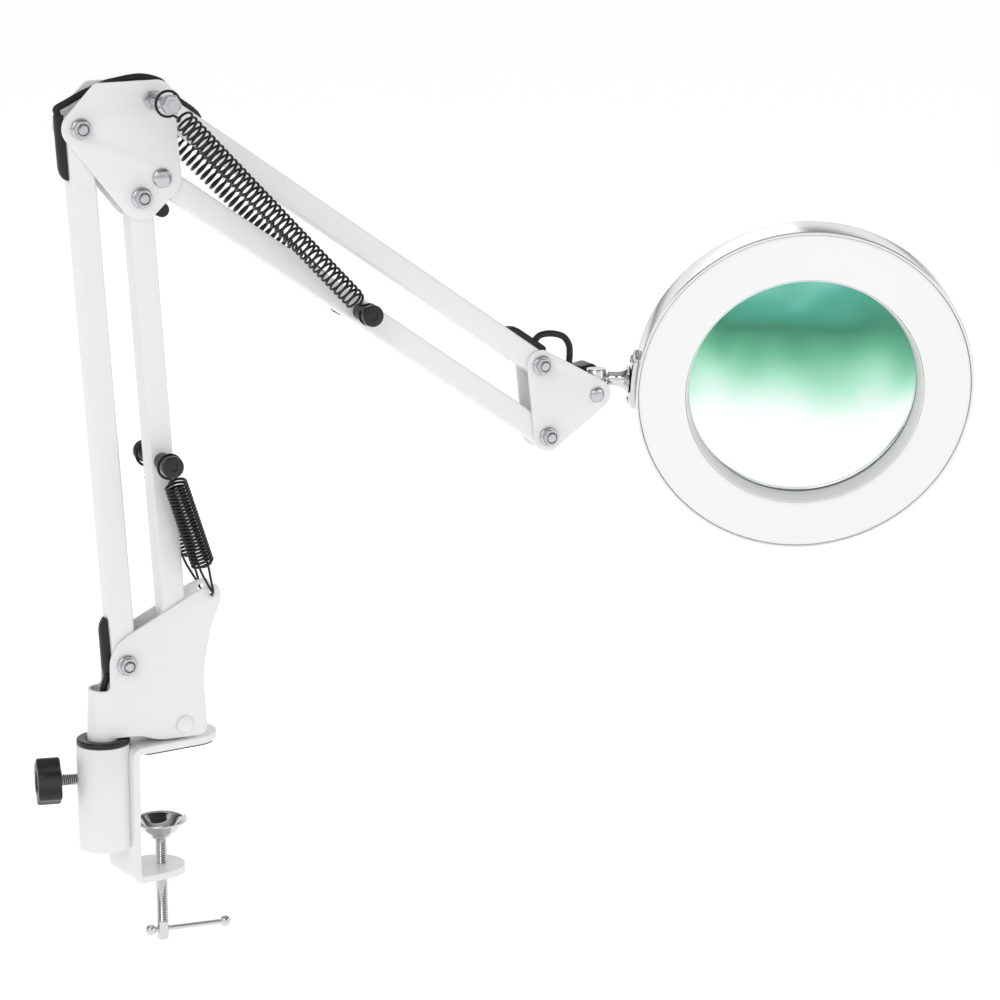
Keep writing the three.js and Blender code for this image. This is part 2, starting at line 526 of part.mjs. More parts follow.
// ---------------------------------------------------------------- knuckle and swivel block
const SWIVEL_X = tiltPivot.x + 3.5;
const STEM_Z = tiltPivot.z + 7.3;
const BLOCK_R = 5.4;
const SHELF = tiltPivot.z + 3.4;
function knuckleGeometry() {
  const barrel = cylinderY(tiltPivot, 6.2, GAP - INNER, INNER - GAP, 20);
  const neck = block(tiltPivot.x, SWIVEL_X, -4.5, 4.5, tiltPivot.z - 3, SHELF);
  const shelf = cylinderZ(SWIVEL_X, 0, BLOCK_R, tiltPivot.z - 3, SHELF, 20);
  const pin = cylinderZ(SWIVEL_X, 0, 2.2, SHELF - 1, SHELF + 2, 12);
  const rest = cut(join(barrel, neck, shelf), cylinderZ(SWIVEL_X, 0, BLOCK_R + GAP, SHELF, SHELF + 20, 20));
  return cut(join(rest, pin), cylinderY(tiltPivot, TILT_R + GAP, -20, 20));
}
add('knuckle', knuckleGeometry(), chrome);

const head = new THREE.Group();     // +X along the stem, from the swivel axis
head.position.set(SWIVEL_X, 0, STEM_Z);
head.rotation.z = HEAD_YAW;
lamp.add(head);

const SPIGOT_R = 2.6;
function swivelGeometry() {
  const low = SHELF + GAP - STEM_Z;
  const body = cylinderZ(0, 0, BLOCK_R, low, 5.2, 20);
  const spigotBore = new THREE.CylinderGeometry(SPIGOT_R + GAP, SPIGOT_R + GAP, 12, 12).rotateZ(Math.PI / 2)
    .translate(8.5, 0, 0).rotateY(HEAD_DROP);
  return cut(body, cylinderZ(0, 0, 2.2 + GAP, low - 1, SHELF + 2 + GAP - STEM_Z, 12), spigotBore);
}
add('swivel_block', swivelGeometry(), chrome, head);

// ---------------------------------------------------------------- head: stem, housing, lens
const RIM_R = 90.5;
const HEAD_DEPTH = 20;
const CENTRE = 20.5 + RIM_R;        // lens centre from the swivel axis
const LENS_R = 63.5;
const STEM_R = 3.9;
const drop = new THREE.Group();
drop.rotation.y = HEAD_DROP;
head.add(drop);
const roll = new THREE.Group();     // turns about the stem's own axis
roll.rotation.x = HEAD_NOD;
drop.add(roll);

// The saddle hugs the rim; the stem flares into it.
function saddleGeometry() {
  const arc = 10.5 * DEG;
  const inside = RIM_R + GAP;
  const outline = new THREE.Shape();
  outline.absarc(CENTRE, 0, inside, Math.PI + arc, Math.PI - arc, true);
  outline.absarc(CENTRE, 0, inside + 3.2, Math.PI - arc, Math.PI + arc, false);
  outline.closePath();
  const strap = prismY(outline, -6.5, 6.5);
  const stem = turnedUp([[0, 2.9], [SPIGOT_R, 2.9], [SPIGOT_R, BLOCK_R + 2 * GAP], [STEM_R, BLOCK_R + 2 * GAP],
    [STEM_R, 12], [5.2, 14.4], [7.6, 17], [0, 18.4]], 20).rotateZ(-Math.PI / 2);
  return join(strap, stem);
}
add('stem_saddle', saddleGeometry(), chrome, roll);

// Round pieces of the head are turned about its own axis, which points out of the light face (-Y at rest).
const disk = new THREE.Group();
disk.position.set(CENTRE, 0, 0);
disk.rotation.x = Math.PI / 2;
roll.add(disk);
const FRONT = HEAD_DEPTH / 2;
const ring = (profile, sides) => turned(profile.map(([r, depth]) => [r, FRONT - depth]), sides);

add('head_housing', ring([
  [90.5, -0.6], [88.9, -0.6], [88.9, 18.2], [65.3, 18.2], [65.3, 2.5], [63.8, 2.5], [63.8, 13.5], [61, 13.5],
  [61, 20], [88.5, 20], [90.5, 18], [90.5, -0.6],
], 40), silver, disk);
add('light_diffuser', ring([[63.8, 0], [63.8, 2.2], [88.6, 2.2], [88.6, 0], [63.8, 0]], 40), opal, disk);
add('lens_ring', ring([[63.1, 0], [61, 9.6], [63.5, 9.6], [63.5, 0], [63.1, 0]], 40), silver, disk);
add('led_board', ring([[68, 16.3], [68, 17.9], [87, 17.9], [87, 16.3], [68, 16.3]], 40), boardWhite, disk);

function lensProfile(bulge, edge) {
  const steps = 4;
  const face = (sign) => Array.from({ length: steps + 1 }, (_, i) => {
    const r = (LENS_R * i) / steps;
    return [r, 11.6 + sign * (edge / 2 + bulge * (1 - (r / LENS_R) ** 2))];
  });
  return [...face(-1), ...face(1).reverse()];
}
add('lens', ring(lensProfile(3.6, 3), 40), glass, disk);

export default lamp;
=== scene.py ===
"""Clamp-on magnifying lamp. Blender 4.5 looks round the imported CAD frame. Metres, +Z up."""
import json
import math

import bmesh
import bpy
from mathutils import Matrix, Vector


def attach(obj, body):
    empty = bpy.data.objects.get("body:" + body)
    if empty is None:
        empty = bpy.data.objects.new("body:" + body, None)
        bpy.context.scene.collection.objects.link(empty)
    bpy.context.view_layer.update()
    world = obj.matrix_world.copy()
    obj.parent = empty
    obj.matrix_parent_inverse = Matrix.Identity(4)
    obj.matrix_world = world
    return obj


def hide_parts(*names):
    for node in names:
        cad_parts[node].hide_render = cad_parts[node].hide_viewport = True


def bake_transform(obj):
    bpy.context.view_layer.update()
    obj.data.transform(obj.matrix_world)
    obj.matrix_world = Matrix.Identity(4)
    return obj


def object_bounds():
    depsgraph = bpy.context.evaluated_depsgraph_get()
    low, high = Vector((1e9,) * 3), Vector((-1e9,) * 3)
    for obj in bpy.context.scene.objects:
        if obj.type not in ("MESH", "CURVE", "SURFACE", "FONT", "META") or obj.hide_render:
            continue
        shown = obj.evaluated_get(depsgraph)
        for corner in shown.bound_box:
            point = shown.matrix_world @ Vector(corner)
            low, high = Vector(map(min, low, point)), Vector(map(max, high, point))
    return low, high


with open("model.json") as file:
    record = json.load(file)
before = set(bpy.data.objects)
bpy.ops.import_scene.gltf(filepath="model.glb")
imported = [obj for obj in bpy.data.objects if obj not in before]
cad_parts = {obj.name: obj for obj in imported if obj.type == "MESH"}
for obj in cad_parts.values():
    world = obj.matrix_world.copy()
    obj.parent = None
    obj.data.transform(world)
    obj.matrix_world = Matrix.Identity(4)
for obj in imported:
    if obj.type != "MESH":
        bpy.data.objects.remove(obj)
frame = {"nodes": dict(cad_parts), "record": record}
CAD_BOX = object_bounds()

MM = 0.001
RAD = math.radians

# ------------------------------------------------------------------ shared dimensions, in millimetres
PLATE = 1.5
GAP = 0.3
HALF = 6.35
INNER = HALF + GAP
OUTER = INNER + PLATE
BOLT_R = 2.5
POST_X = -25.0
CLAMP_TURN = RAD(8)
LOWER_ARM, LOWER_LEAN = 271.1, RAD(93.36)
UPPER_ARM, UPPER_DROP = 257.6, RAD(-35.08)
HEAD_YAW, HEAD_DROP, HEAD_NOD = RAD(-22), RAD(3), RAD(11)


def plus(p, x, z):
    return (p[0] + x, p[1] + z)


def polar(p, length, angle):
    return plus(p, length * math.cos(angle), length * math.sin(angle))


base_left = (POST_X + 11, 48.3)
base_right = plus(base_left, 30, -35)
elbow_left = polar(base_left, LOWER_ARM, LOWER_LEAN)
elbow_bottom = plus(elbow_left, 30, -35)
elbow_right = plus(elbow_left, 40.75, -25.8)
elbow_top = plus(elbow_right, -4, 38.5)
head_bottom = polar(elbow_right, UPPER_ARM, UPPER_DROP)
head_top = plus(head_bottom, -4, 38.5)
tilt = plus(head_bottom, 28.55, 20.25)
ear = plus(base_left, 45.5, 32)
lower_peg = polar(base_right, 138, LOWER_LEAN)
upper_peg = polar(elbow_right, 128.5, UPPER_DROP)
swivel = plus(tilt, 3.5, 7.3)

CLAMP = Matrix.Translation((POST_X, 0, 0)) @ Matrix.Rotation(CLAMP_TURN, 4, "Z")
HEAD = Matrix.Translation((swivel[0], 0, swivel[1])) @ Matrix.Rotation(HEAD_YAW, 4, "Z")
ROLL = HEAD @ Matrix.Rotation(HEAD_DROP, 4, "Y") @ Matrix.Rotation(HEAD_NOD, 4, "X")
RIM_R = 90.5
CENTRE = 20.5 + RIM_R
DISK = ROLL @ Matrix.Translation((CENTRE, 0, 0)) @ Matrix.Rotation(RAD(90), 4, "X")


# ------------------------------------------------------------------ materials
def material(name, color, rough, metal=0.0, coat=0.0, grain=800.0, bump=0.05, vary=0.04, blotch=14.0,
             **extra):
    m = bpy.data.materials.new(name)
    m.use_nodes = True
    nt = m.node_tree
    n, link = nt.nodes, nt.links
    b = n["Principled BSDF"]
    co = n.new("ShaderNodeTexCoord")
    big = n.new("ShaderNodeTexNoise")
    big.inputs["Scale"].default_value = blotch
    big.inputs["Detail"].default_value = 6
    link.new(co.outputs["Object"], big.inputs["Vector"])
    ramp = n.new("ShaderNodeValToRGB")
    ramp.color_ramp.elements[0].position = 0.3
    ramp.color_ramp.elements[1].position = 0.7
    ramp.color_ramp.elements[0].color = [c * (1 - vary) for c in color] + [1]
    ramp.color_ramp.elements[1].color = [min(1.0, c * (1 + vary)) for c in color] + [1]
    link.new(big.outputs["Fac"], ramp.inputs["Fac"])
    link.new(ramp.outputs["Color"], b.inputs["Base Color"])
    rr = n.new("ShaderNodeMapRange")
    rr.inputs["To Min"].default_value = max(0.02, rough * 0.8)
    rr.inputs["To Max"].default_value = min(1.0, rough * 1.25)
    mid = n.new("ShaderNodeTexNoise")
    mid.inputs["Scale"].default_value = blotch * 8
    mid.inputs["Detail"].default_value = 8
    link.new(co.outputs["Object"], mid.inputs["Vector"])
    link.new(mid.outputs["Fac"], rr.inputs["Value"])
    link.new(rr.outputs["Result"], b.inputs["Roughness"])
    if bump:
        fine = n.new("ShaderNodeTexNoise")
        fine.inputs["Scale"].default_value = grain
        fine.inputs["Detail"].default_value = 3
        link.new(co.outputs["Object"], fine.inputs["Vector"])
        bp = n.new("ShaderNodeBump")
        bp.inputs["Strength"].default_value = bump
        bp.inputs["Distance"].default_value = 0.0003
        link.new(fine.outputs["Fac"], bp.inputs["Height"])
        link.new(bp.outputs["Normal"], b.inputs["Normal"])
    b.inputs["Metallic"].default_value = metal
    b.inputs["Coat Weight"].default_value = coat
    for key, value in extra.items():
        b.inputs[key.replace("_", " ")].default_value = value
    return m


PAINT = material("white_paint", (0.86, 0.865, 0.86), 0.32, coat=0.25, grain=1400, bump=0.06, vary=0.012)
BLACK = material("black_plastic", (0.008, 0.008, 0.009), 0.34, grain=2600, bump=0.12, vary=0.2)
RUBBER = material("black_rubber", (0.006, 0.006, 0.006), 0.5, grain=3200, bump=0.16, vary=0.25)
CHROME = material("chrome", (0.66, 0.665, 0.68), 0.09, metal=1.0, bump=0.01, vary=0.02)
ZINC = material("zinc", (0.56, 0.57, 0.59), 0.24, metal=1.0, grain=2200, bump=0.08, vary=0.06)
SPRING = material("black_spring", (0.010, 0.010, 0.011), 0.3, metal=0.3, grain=2500, bump=0.08, vary=0.2)
SILVER = material("silver_rim", (0.80, 0.81, 0.825), 0.22, metal=0.85, coat=0.35, grain=2400, bump=0.03,
                  vary=0.012)
OPAL = material("opal", (0.93, 0.93, 0.93), 0.42, grain=3000, bump=0.05, vary=0.008)
BOARD = material("board", (0.86, 0.88, 0.85), 0.5, vary=0.02)


def lens_glass_painted_reflection():
    """Clear glass with a painted reflection of green surroundings: green towards the top of the lens that
    fades out downwards, in soft patches.
    """
    m = material("glass", (0.86, 0.97, 0.93), 0.03, bump=0, vary=0.01)
    nt = m.node_tree
    n, link = nt.nodes, nt.links
    b = n["Principled BSDF"]
    co = n.new("ShaderNodeTexCoord")
    split = n.new("ShaderNodeSeparateXYZ")
    link.new(co.outputs["Object"], split.inputs["Vector"])
    up = n.new("ShaderNodeMapRange")
    mid = (DISK @ Vector((0, 0, 0))).z * MM
    up.inputs["From Min"].default_value = mid - 0.064
    up.inputs["From Max"].default_value = mid + 0.064
    link.new(split.outputs["Z"], up.inputs["Value"])
    # Soft noise patches break up the painted reflection.
    soft = n.new("ShaderNodeTexNoise")
    soft.inputs["Scale"].default_value = 17
    soft.inputs["Detail"].default_value = 1.5
    soft.inputs["Distortion"].default_value = 0.8
    link.new(co.outputs["Object"], soft.inputs["Vector"])
    mix = n.new("ShaderNodeMath")
    mix.operation = "MULTIPLY_ADD"
    mix.inputs[1].default_value = 0.42
    link.new(soft.outputs["Fac"], mix.inputs[0])
    low = n.new("ShaderNodeMath")
    low.operation = "SUBTRACT"
    low.inputs[1].default_value = 0.21
    link.new(up.outputs["Result"], low.inputs[0])
    link.new(low.outputs["Value"], mix.inputs[2])
    # These stops are the painted reflection: near white low down, deep green higher up, paler green at the
    # very top.
    ramp = n.new("ShaderNodeValToRGB")
    stops = ((0.0, (0.97, 1.0, 0.985)), (0.36, (0.88, 0.97, 0.93)), (0.54, (0.38, 0.74, 0.56)),
             (0.68, (0.10, 0.42, 0.25)),
             (0.80, (0.01, 0.19, 0.10)), (0.9, (0.05, 0.36, 0.26)), (1.0, (0.22, 0.62, 0.50)))
    ramp.color_ramp.elements[0].position, ramp.color_ramp.elements[0].color = stops[0][0], (*stops[0][1], 1)
    ramp.color_ramp.elements[1].position, ramp.color_ramp.elements[1].color = stops[-1][0], (*stops[-1][1], 1)
    for at_, tint in stops[1:-1]:
        ramp.color_ramp.elements.new(at_).color = (*tint, 1)
    link.new(mix.outputs["Value"], ramp.inputs["Fac"])
    link.new(ramp.outputs["Color"], b.inputs["Base Color"])
    b.inputs["Transmission Weight"].default_value = 1.0
    b.inputs["IOR"].default_value = 1.5
    b.inputs["Coat Weight"].default_value = 0.3
    return m


# The lens material carries a painted reflection of green surroundings, strongest towards the top.
GLASS_WITH_PAINTED_REFLECTION = lens_glass_painted_reflection()
SLOTS = {PAINT: "white_paint", BLACK: "black_plastic", RUBBER: "black_rubber", CHROME: "chrome", ZINC: "zinc",
         SPRING: "black_spring", SILVER: "silver_rim", OPAL: "opal", BOARD: "board", GLASS_WITH_PAINTED_REFLECTION: "glass"}
FINISH = {v: k for k, v in SLOTS.items()}
for part in frame["record"]["subparts"]:
    shown = frame["nodes"].get(part["node"])
    if shown is not None:
        shown.data.materials.clear()
        shown.data.materials.append(FINISH[part["material_slot"]])


# ------------------------------------------------------------------ mesh helpers
def finish_mesh(name, me, mat, body, nodes, smooth=35, bevel=0.0, segments=2, place=None, limit=35):
    if place is not None:
        me.transform(place)
    me.transform(Matrix.Scale(MM, 4))
    o = bpy.data.objects.new(name, me)
    bpy.context.scene.collection.objects.link(o)
    me.materials.clear()
    me.materials.append(mat)
    me.polygons.foreach_set("use_smooth", [True] * len(me.polygons))
    bpy.context.view_layer.objects.active = o
    for other in bpy.context.selected_objects:
        other.select_set(False)
    o.select_set(True)
    if bevel:
        mod = o.modifiers.new("soft_edges", "BEVEL")
        mod.width = bevel * MM
        mod.segments = segments
        mod.limit_method = "ANGLE"
        mod.angle_limit = RAD(limit)
        mod.harden_normals = False
    me.set_sharp_from_angle(angle=RAD(smooth if not bevel else 80))
    if nodes:
        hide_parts(*nodes)
    if body:
        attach(o, body)
    return o


def mesh_of(verts, faces):
    me = bpy.data.meshes.new("m")
    me.from_pydata([tuple(v) for v in verts], [], faces)
    bm = bmesh.new()
    bm.from_mesh(me)
    bmesh.ops.remove_doubles(bm, verts=bm.verts, dist=1e-4)
    bmesh.ops.recalc_face_normals(bm, faces=bm.faces)
    bm.to_mesh(me)
    bm.free()
    return me


def merge(*meshes):
    bm = bmesh.new()
    for me in meshes:
        bm.from_mesh(me)
    out = bpy.data.meshes.new("m")
    bm.to_mesh(out)
    bm.free()
    return out


def lathe(profile, sides=96):
    """Turns [radius, height] pairs about +Z; a closed loop repeats its first point."""
    verts, faces = [], []
    for r, h in profile:
        for i in range(sides):
            a = 2 * math.pi * i / sides
            verts.append((r * math.cos(a), r * math.sin(a), h))
    for k in range(len(profile) - 1):
        for i in range(sides):
            j = (i + 1) % sides
            a, b, c, d = k * sides + i, k * sides + j, (k + 1) * sides + j, (k + 1) * sides + i
            faces.append((a, b, c, d))
    me = mesh_of(verts, faces)
    bm = bmesh.new()
    bm.from_mesh(me)
    bmesh.ops.dissolve_degenerate(bm, edges=bm.edges, dist=1e-5)
    bmesh.ops.recalc_face_normals(bm, faces=bm.faces)
    bm.to_mesh(me)
    bm.free()
    return me


def along_y(p, side=1):
    """Lays a +Z piece along Y at an XZ point; side -1 points it to the front."""
    return Matrix.Translation((p[0], 0, p[1])) @ Matrix.Rotation(RAD(-90 * side), 4, "X")


def along(p, direction):
    z = Vector(direction).normalized()
    return Matrix.Translation(p) @ z.to_track_quat("Z", "Y").to_matrix().to_4x4()


def flat(outline, holes, low, high, edge=0.25):
    """A sheet piece in XY from low to high: an outline with round holes and soft edges."""
    cu = bpy.data.curves.new("c", "CURVE")
    cu.dimensions = "2D"
    cu.fill_mode = "BOTH"
    loops = [outline] + [[(x + r * math.cos(t), y + r * math.sin(t)) for t in
                          [2 * math.pi * i / 40 for i in range(40)]] for x, y, r in holes]
    for loop in loops:
        sp = cu.splines.new("POLY")
        sp.points.add(len(loop) - 1)
        for q, (x, y) in zip(sp.points, loop):
            q.co = (x, y, 0, 1)
        sp.use_cyclic_u = True
    cu.extrude = (high - low) / 2 - edge
    cu.bevel_depth = edge
    cu.bevel_resolution = 2
    cu.offset = -edge
    o = bpy.data.objects.new("c", cu)
    bpy.context.scene.collection.objects.link(o)
    me = bpy.data.meshes.new_from_object(o.evaluated_get(bpy.context.evaluated_depsgraph_get()))
    bpy.data.objects.remove(o)
    bm = bmesh.new()
    bm.from_mesh(me)
    bmesh.ops.remove_doubles(bm, verts=bm.verts, dist=1e-4)
    bm.to_mesh(me)
    bm.free()
    me.transform(Matrix.Translation((0, 0, (high + low) / 2)))
    return me


UPRIGHT = Matrix.Rotation(RAD(90), 4, "X")


def plate(outline, holes, y0, y1, edge=0.3):
    """An XZ outline from y0 to y1."""
    me = flat(outline, holes, -y1, -y0, edge)
    me.transform(UPRIGHT)
    return me


def hull(discs, sides=72):
    pts = sorted({(round(x + r * math.cos(2 * math.pi * i / sides), 4),
        round(z + r * math.sin(2 * math.pi * i / sides), 4))
                  for (x, z), r in discs for i in range(sides)})

    def turn(o, a, b):
        return (a[0] - o[0]) * (b[1] - o[1]) - (a[1] - o[1]) * (b[0] - o[0])

    def chain(seq):
        out = []
        for p in seq:
            while len(out) > 1 and turn(out[-2], out[-1], p) <= 1e-5:
                out.pop()
            out.append(p)
        return out[:-1]
    return chain(pts) + chain(reversed(pts))


def rounded(corners, steps=8):
    """Corners [x, z, radius] joined by straight runs and smooth curves."""
    out = []
    count = len(corners)
    for i, (x, z, r) in enumerate(corners):
        if r <= 0:
            out.append((x, z))
            continue
        ends = []
        for other in (corners[i - 1], corners[(i + 1) % count]):
            dx, dz = other[0] - x, other[1] - z
            t = min(r / math.hypot(dx, dz), 0.5)
            ends.append((x + dx * t, z + dz * t))
        for k in range(steps + 1):
            t = k / steps
            out.append(tuple((1 - t) ** 2 * a + 2 * t * (1 - t) * c + t * t * b
                             for a, c, b in zip(ends[0], (x, z), ends[1])))
    return out


def wire(points, r, sides=12, smooth=True, steps=6):
    """A round wire or cable through points, with closed ends."""
    pts = [Vector(p) for p in points]
    if smooth:
        full = []
        count = len(pts)
        for i in range(count - 1):
            p0, p1, p2, p3 = pts[max(i - 1, 0)], pts[i], pts[i + 1], pts[min(i + 2, count - 1)]
            for k in range(steps):
                t = k / steps
                full.append(0.5 * ((2 * p1) + (p2 - p0) * t + (2 * p0 - 5 * p1 + 4 * p2 - p3) * t * t
                                   + (3 * p1 - p0 - 3 * p2 + p3) * t ** 3))
        full.append(pts[-1])
        pts = full
    verts, faces = [], []
    tangent = (pts[1] - pts[0]).normalized()
    side = tangent.orthogonal().normalized()
    for i, p in enumerate(pts):
        nxt = pts[min(i + 1, len(pts) - 1)]
        prv = pts[max(i - 1, 0)]
        tangent = (nxt - prv).normalized()
        side = (side - tangent * side.dot(tangent)).normalized()
        up = tangent.cross(side)
        for k in range(sides):
            a = 2 * math.pi * k / sides
            verts.append(p + (side * math.cos(a) + up * math.sin(a)) * r)
    for i in range(len(pts) - 1):
        for k in range(sides):
            j = (k + 1) % sides
            faces.append((i * sides + k, i * sides + j, (i + 1) * sides + j, (i + 1) * sides + k))
    faces.append(tuple(range(sides)))
    faces.append(tuple(range((len(pts) - 1) * sides, len(pts) * sides)))
    return mesh_of(verts, faces)


def ball(centre, r):
    bm = bmesh.new()
    bmesh.ops.create_uvsphere(bm, u_segments=32, v_segments=20, radius=r)
    me = bpy.data.meshes.new("m")
    bm.to_mesh(me)
    bm.free()
    me.transform(Matrix.Translation(centre))
    return me


def hexagon(width, low, high, chamfer=0.5):
    """A six-sided nut body with its corners turned off, across-corner radius width."""
    verts, faces = [], []
    rows = [(width * 0.9, low), (width, low + chamfer), (width, high - chamfer), (width * 0.9, high)]
    for r, h in rows:
        for i in range(6):
            a = math.pi / 3 * i
            verts.append((r * math.cos(a), r * math.sin(a), h))
    for k in range(3):
        for i in range(6):
            j = (i + 1) % 6
            faces.append((k * 6 + i, k * 6 + j, k * 6 + 6 + j, k * 6 + 6 + i))
    faces += [tuple(range(6)), tuple(range(18, 24))]
    return mesh_of(verts, faces)


def nut_hex(width, bore, low, high):
    """An open six-sided nut: flats outside, a round chamfered mouth inside."""
    verts, faces = [], []
    sides = 48
    rows = [(1.0, low, 0), (1.0, high - 0.7, 0), (0.9, high, 1), ((bore + 0.5) / width, high, 2),
            (bore / width, high - 0.5, 2),
            (bore / width, low, 2)]
    for k, h, kind in rows:
        for i in range(sides):
            a = 2 * math.pi * i / sides
            flat_r = width * math.cos(math.pi / 6) / math.cos((a % (math.pi / 3)) - math.pi / 6)
            r = flat_r if kind == 0 else min(flat_r * 0.985, width * 0.93) if kind == 1 else width * k
            verts.append((r * math.cos(a), r * math.sin(a), h))
    for k in range(len(rows)):
        for i in range(sides):
            j = (i + 1) % sides
            m = (k + 1) % len(rows)
            faces.append((k * sides + i, k * sides + j, m * sides + j, m * sides + i))
    return mesh_of(verts, faces)


def thread_profile(r, start, end, pitch=0.8, depth=0.3):
    """The side of a threaded rod as fine grooves from start to end."""
    out = []
    count = max(1, int(abs(end - start) / pitch))
    step = (end - start) / count
    for i in range(count):
        out += [(r - depth, start + step * i), (r, start + step * (i + 0.5))]
    return out + [(r - depth, end)]


def square_tube(a, b, corner=1.6):
    """A square tube from pivot to pivot with rounded ends."""
    length = math.hypot(b[0] - a[0], b[1] - a[1])
    ux, uz = (b[0] - a[0]) / length, (b[1] - a[1]) / length
    ring = []
    for cx, cy, start in ((1, 1, 0), (-1, 1, 90), (-1, -1, 180), (1, -1, 270)):
        for k in range(6):
            t = RAD(start + 90 * k / 5)
            ring.append((cx * (HALF - corner) + corner * math.cos(t),
                         cy * (HALF - corner) + corner * math.sin(t)))
    stations = [(-HALF * math.sin(RAD(t)), max(0.06, math.cos(RAD(t)))) for t in (90, 75, 60, 45, 30, 15)]
    stations += [(length * k / 10, 1.0) for k in range(11)]
    stations += [(length + HALF * math.sin(RAD(t)), max(0.06, math.cos(RAD(t))))
                 for t in (15, 30, 45, 60, 75, 90)]
    verts, faces = [], []
    for s, k in stations:
        for across, y in ring:
            o = across * k
            verts.append((a[0] + ux * s - uz * o, y, a[1] + uz * s + ux * o))
    n = len(ring)
    for i in range(len(stations) - 1):
        for k in range(n):
            j = (k + 1) % n
            faces.append((i * n + k, i * n + j, (i + 1) * n + j, (i + 1) * n + k))
    faces += [tuple(range(n)), tuple(range((len(stations) - 1) * n, len(stations) * n))]
    return mesh_of(verts, faces)


def on_tube(start, angle, s, out):
    return (start[0] + s * math.cos(angle) - out * math.sin(angle),
            start[1] + s * math.sin(angle) + out * math.cos(angle))


# ------------------------------------------------------------------ clamp
SPINE, STRIP, JAW_TOP, LOW_TOP = 8.8, 3.5, 5.3, -63.7
UP_TIP, LOW_TIP, JAW_HALF = 62.5, 43, 16


def clamp_strip():
    """The bent strip as rows across its width, following its middle line round the two bends."""
    mid = STRIP / 2
    x0, top, low = SPINE + mid, JAW_TOP - mid, LOW_TOP - mid
    bend = 3.4
    line = [(UP_TIP - d, top) for d in (0, 0.4, 1.5, 3, 5, 7.5, 10.5, 13.5, 16, 22, 30, 40)]
    line += [(x0 + bend - bend * math.sin(RAD(t)), top - bend + bend * math.cos(RAD(t)))
             for t in range(0, 91, 15)]
    line += [(x0, z) for z in (-10, -25, -40, -52)]
    line += [(x0 + bend - bend * math.cos(RAD(t)), low + bend - bend * math.sin(RAD(t)))
             for t in range(0, 91, 15)]
    line += [(x, low) for x in (18, 23)]
    line += [(LOW_TIP - d, low) for d in (15, 12.5, 10, 7, 4.5, 2.8, 1.4, 0.4, 0)]
    verts, faces = [], []
    across = 12
    total = len(line)
    for i, (x, z) in enumerate(line):
        half = JAW_HALF if i < total / 2 else JAW_HALF - 1
        tip = UP_TIP if i < total / 2 else LOW_TIP
        reach = tip - half
        if abs(z - (top if i < total / 2 else low)) < 0.01 and x > reach:
            half = math.sqrt(max(0.02, half ** 2 - (x - reach) ** 2))
        for k in range(across + 1):
            verts.append((x, half * (2 * k / across - 1), z))
    for i in range(total - 1):
        for k in range(across):
            p = i * (across + 1) + k
            faces.append((p, p + 1, p + across + 2, p + across + 1))
    me = mesh_of(verts, faces)
    o = bpy.data.objects.new("s", me)
    bpy.context.scene.collection.objects.link(o)
    sol = o.modifiers.new("s", "SOLIDIFY")
    sol.thickness = STRIP
    sol.offset = 0
    sol.use_even_offset = True
    bev = o.modifiers.new("b", "BEVEL")
    bev.width = 0.7
    bev.segments = 3
    bev.limit_method = "ANGLE"
    bev.angle_limit = RAD(50)
    out = bpy.data.meshes.new_from_object(o.evaluated_get(bpy.context.evaluated_depsgraph_get()))
    bpy.data.objects.remove(o)
    return out


sleeve = lathe([(10.5, -48.2), (13.3, -48.2), (13.65, -48.05), (13.8, -47.7), (13.8, 6.2), (13.6, 6.5),
                (13.3, 6.6),
                (10.5, 6.6), (10.5, -48.2)], 128)
for v in sleeve.vertices:
    v.co.x = min(v.co.x, SPINE + 1.2)
finish_mesh("clamp_body", merge(clamp_strip(), sleeve), PAINT, "clamp", ["clamp_frame"], place=CLAMP,
            smooth=40)
finish_mesh("bushing", lathe([
    (8.45, -47.2), (10.2, -47.2), (10.2, 6.9), (13.3, 6.9), (13.6, 7.2), (13.6, 8.7), (13.4, 9.2),
    (12.9, 9.55),
    (12.3, 9.6), (9.4, 9.6), (9.0, 9.3), (8.45, 9.0), (8.45, -47.2)], 128),
    BLACK, "clamp", ["sleeve_bushing"],
    place=CLAMP)
pad_outline = rounded([[16.8, -13, 3], [60.5, -13, 13], [60.5, 13, 13], [16.8, 13, 3]], 12)
finish_mesh("jaw_cushion", flat(pad_outline, [], 0, 1.5, 0.4), RUBBER, "clamp", ["jaw_pad"], place=CLAMP)

# Cup, screw and sliding bar.
CUP_RIM, SCREW_END, BAR_Z = -39.7, -105, -99.8
SCREW_X, BAR_TURN = 31, RAD(-13)
SCREW = CLAMP @ Matrix.Translation((SCREW_X, 0, 0)) @ Matrix.Rotation(BAR_TURN, 4, "Z")
cup = [(2.3, -6.4), (4.2, -6.25), (6.4, -5.5), (8.2, -4.4), (9.8, -3.0), (11.2, -1.4), (12.0, -0.6),
       (13.0, -0.1),
       (13.8, 0.0), (14.0, -0.3), (13.9, -0.8), (13.2, -1.3), (12.2, -2.0), (10.8, -3.8), (9.0, -5.8),
       (7.2, -7.0),
       (5.8, -7.6), (5.3, -8.2), (5.2, -9.3), (4.9, -9.6), (3.5, -9.6), (3.3, -9.3), (3.3, -7.6), (2.3, -7.6),
           (2.3, -6.4)]
finish_mesh("cup_pad", lathe(cup, 128), CHROME, "cup", ["pressure_cup"],
            place=CLAMP @ Matrix.Translation((SCREW_X, 0, CUP_RIM)), smooth=60)
rod = [(0, CUP_RIM - 4.2), (1.4, CUP_RIM - 4.3), (2.4, CUP_RIM - 4.8), (3.1, CUP_RIM - 5.6),
       (1.9, CUP_RIM - 6.05),
       (1.9, CUP_RIM - 7.95), (2.6, CUP_RIM - 8.1)]
rod += thread_profile(3.0, CUP_RIM - 10, SCREW_END + 10, 1.25, 0.42)
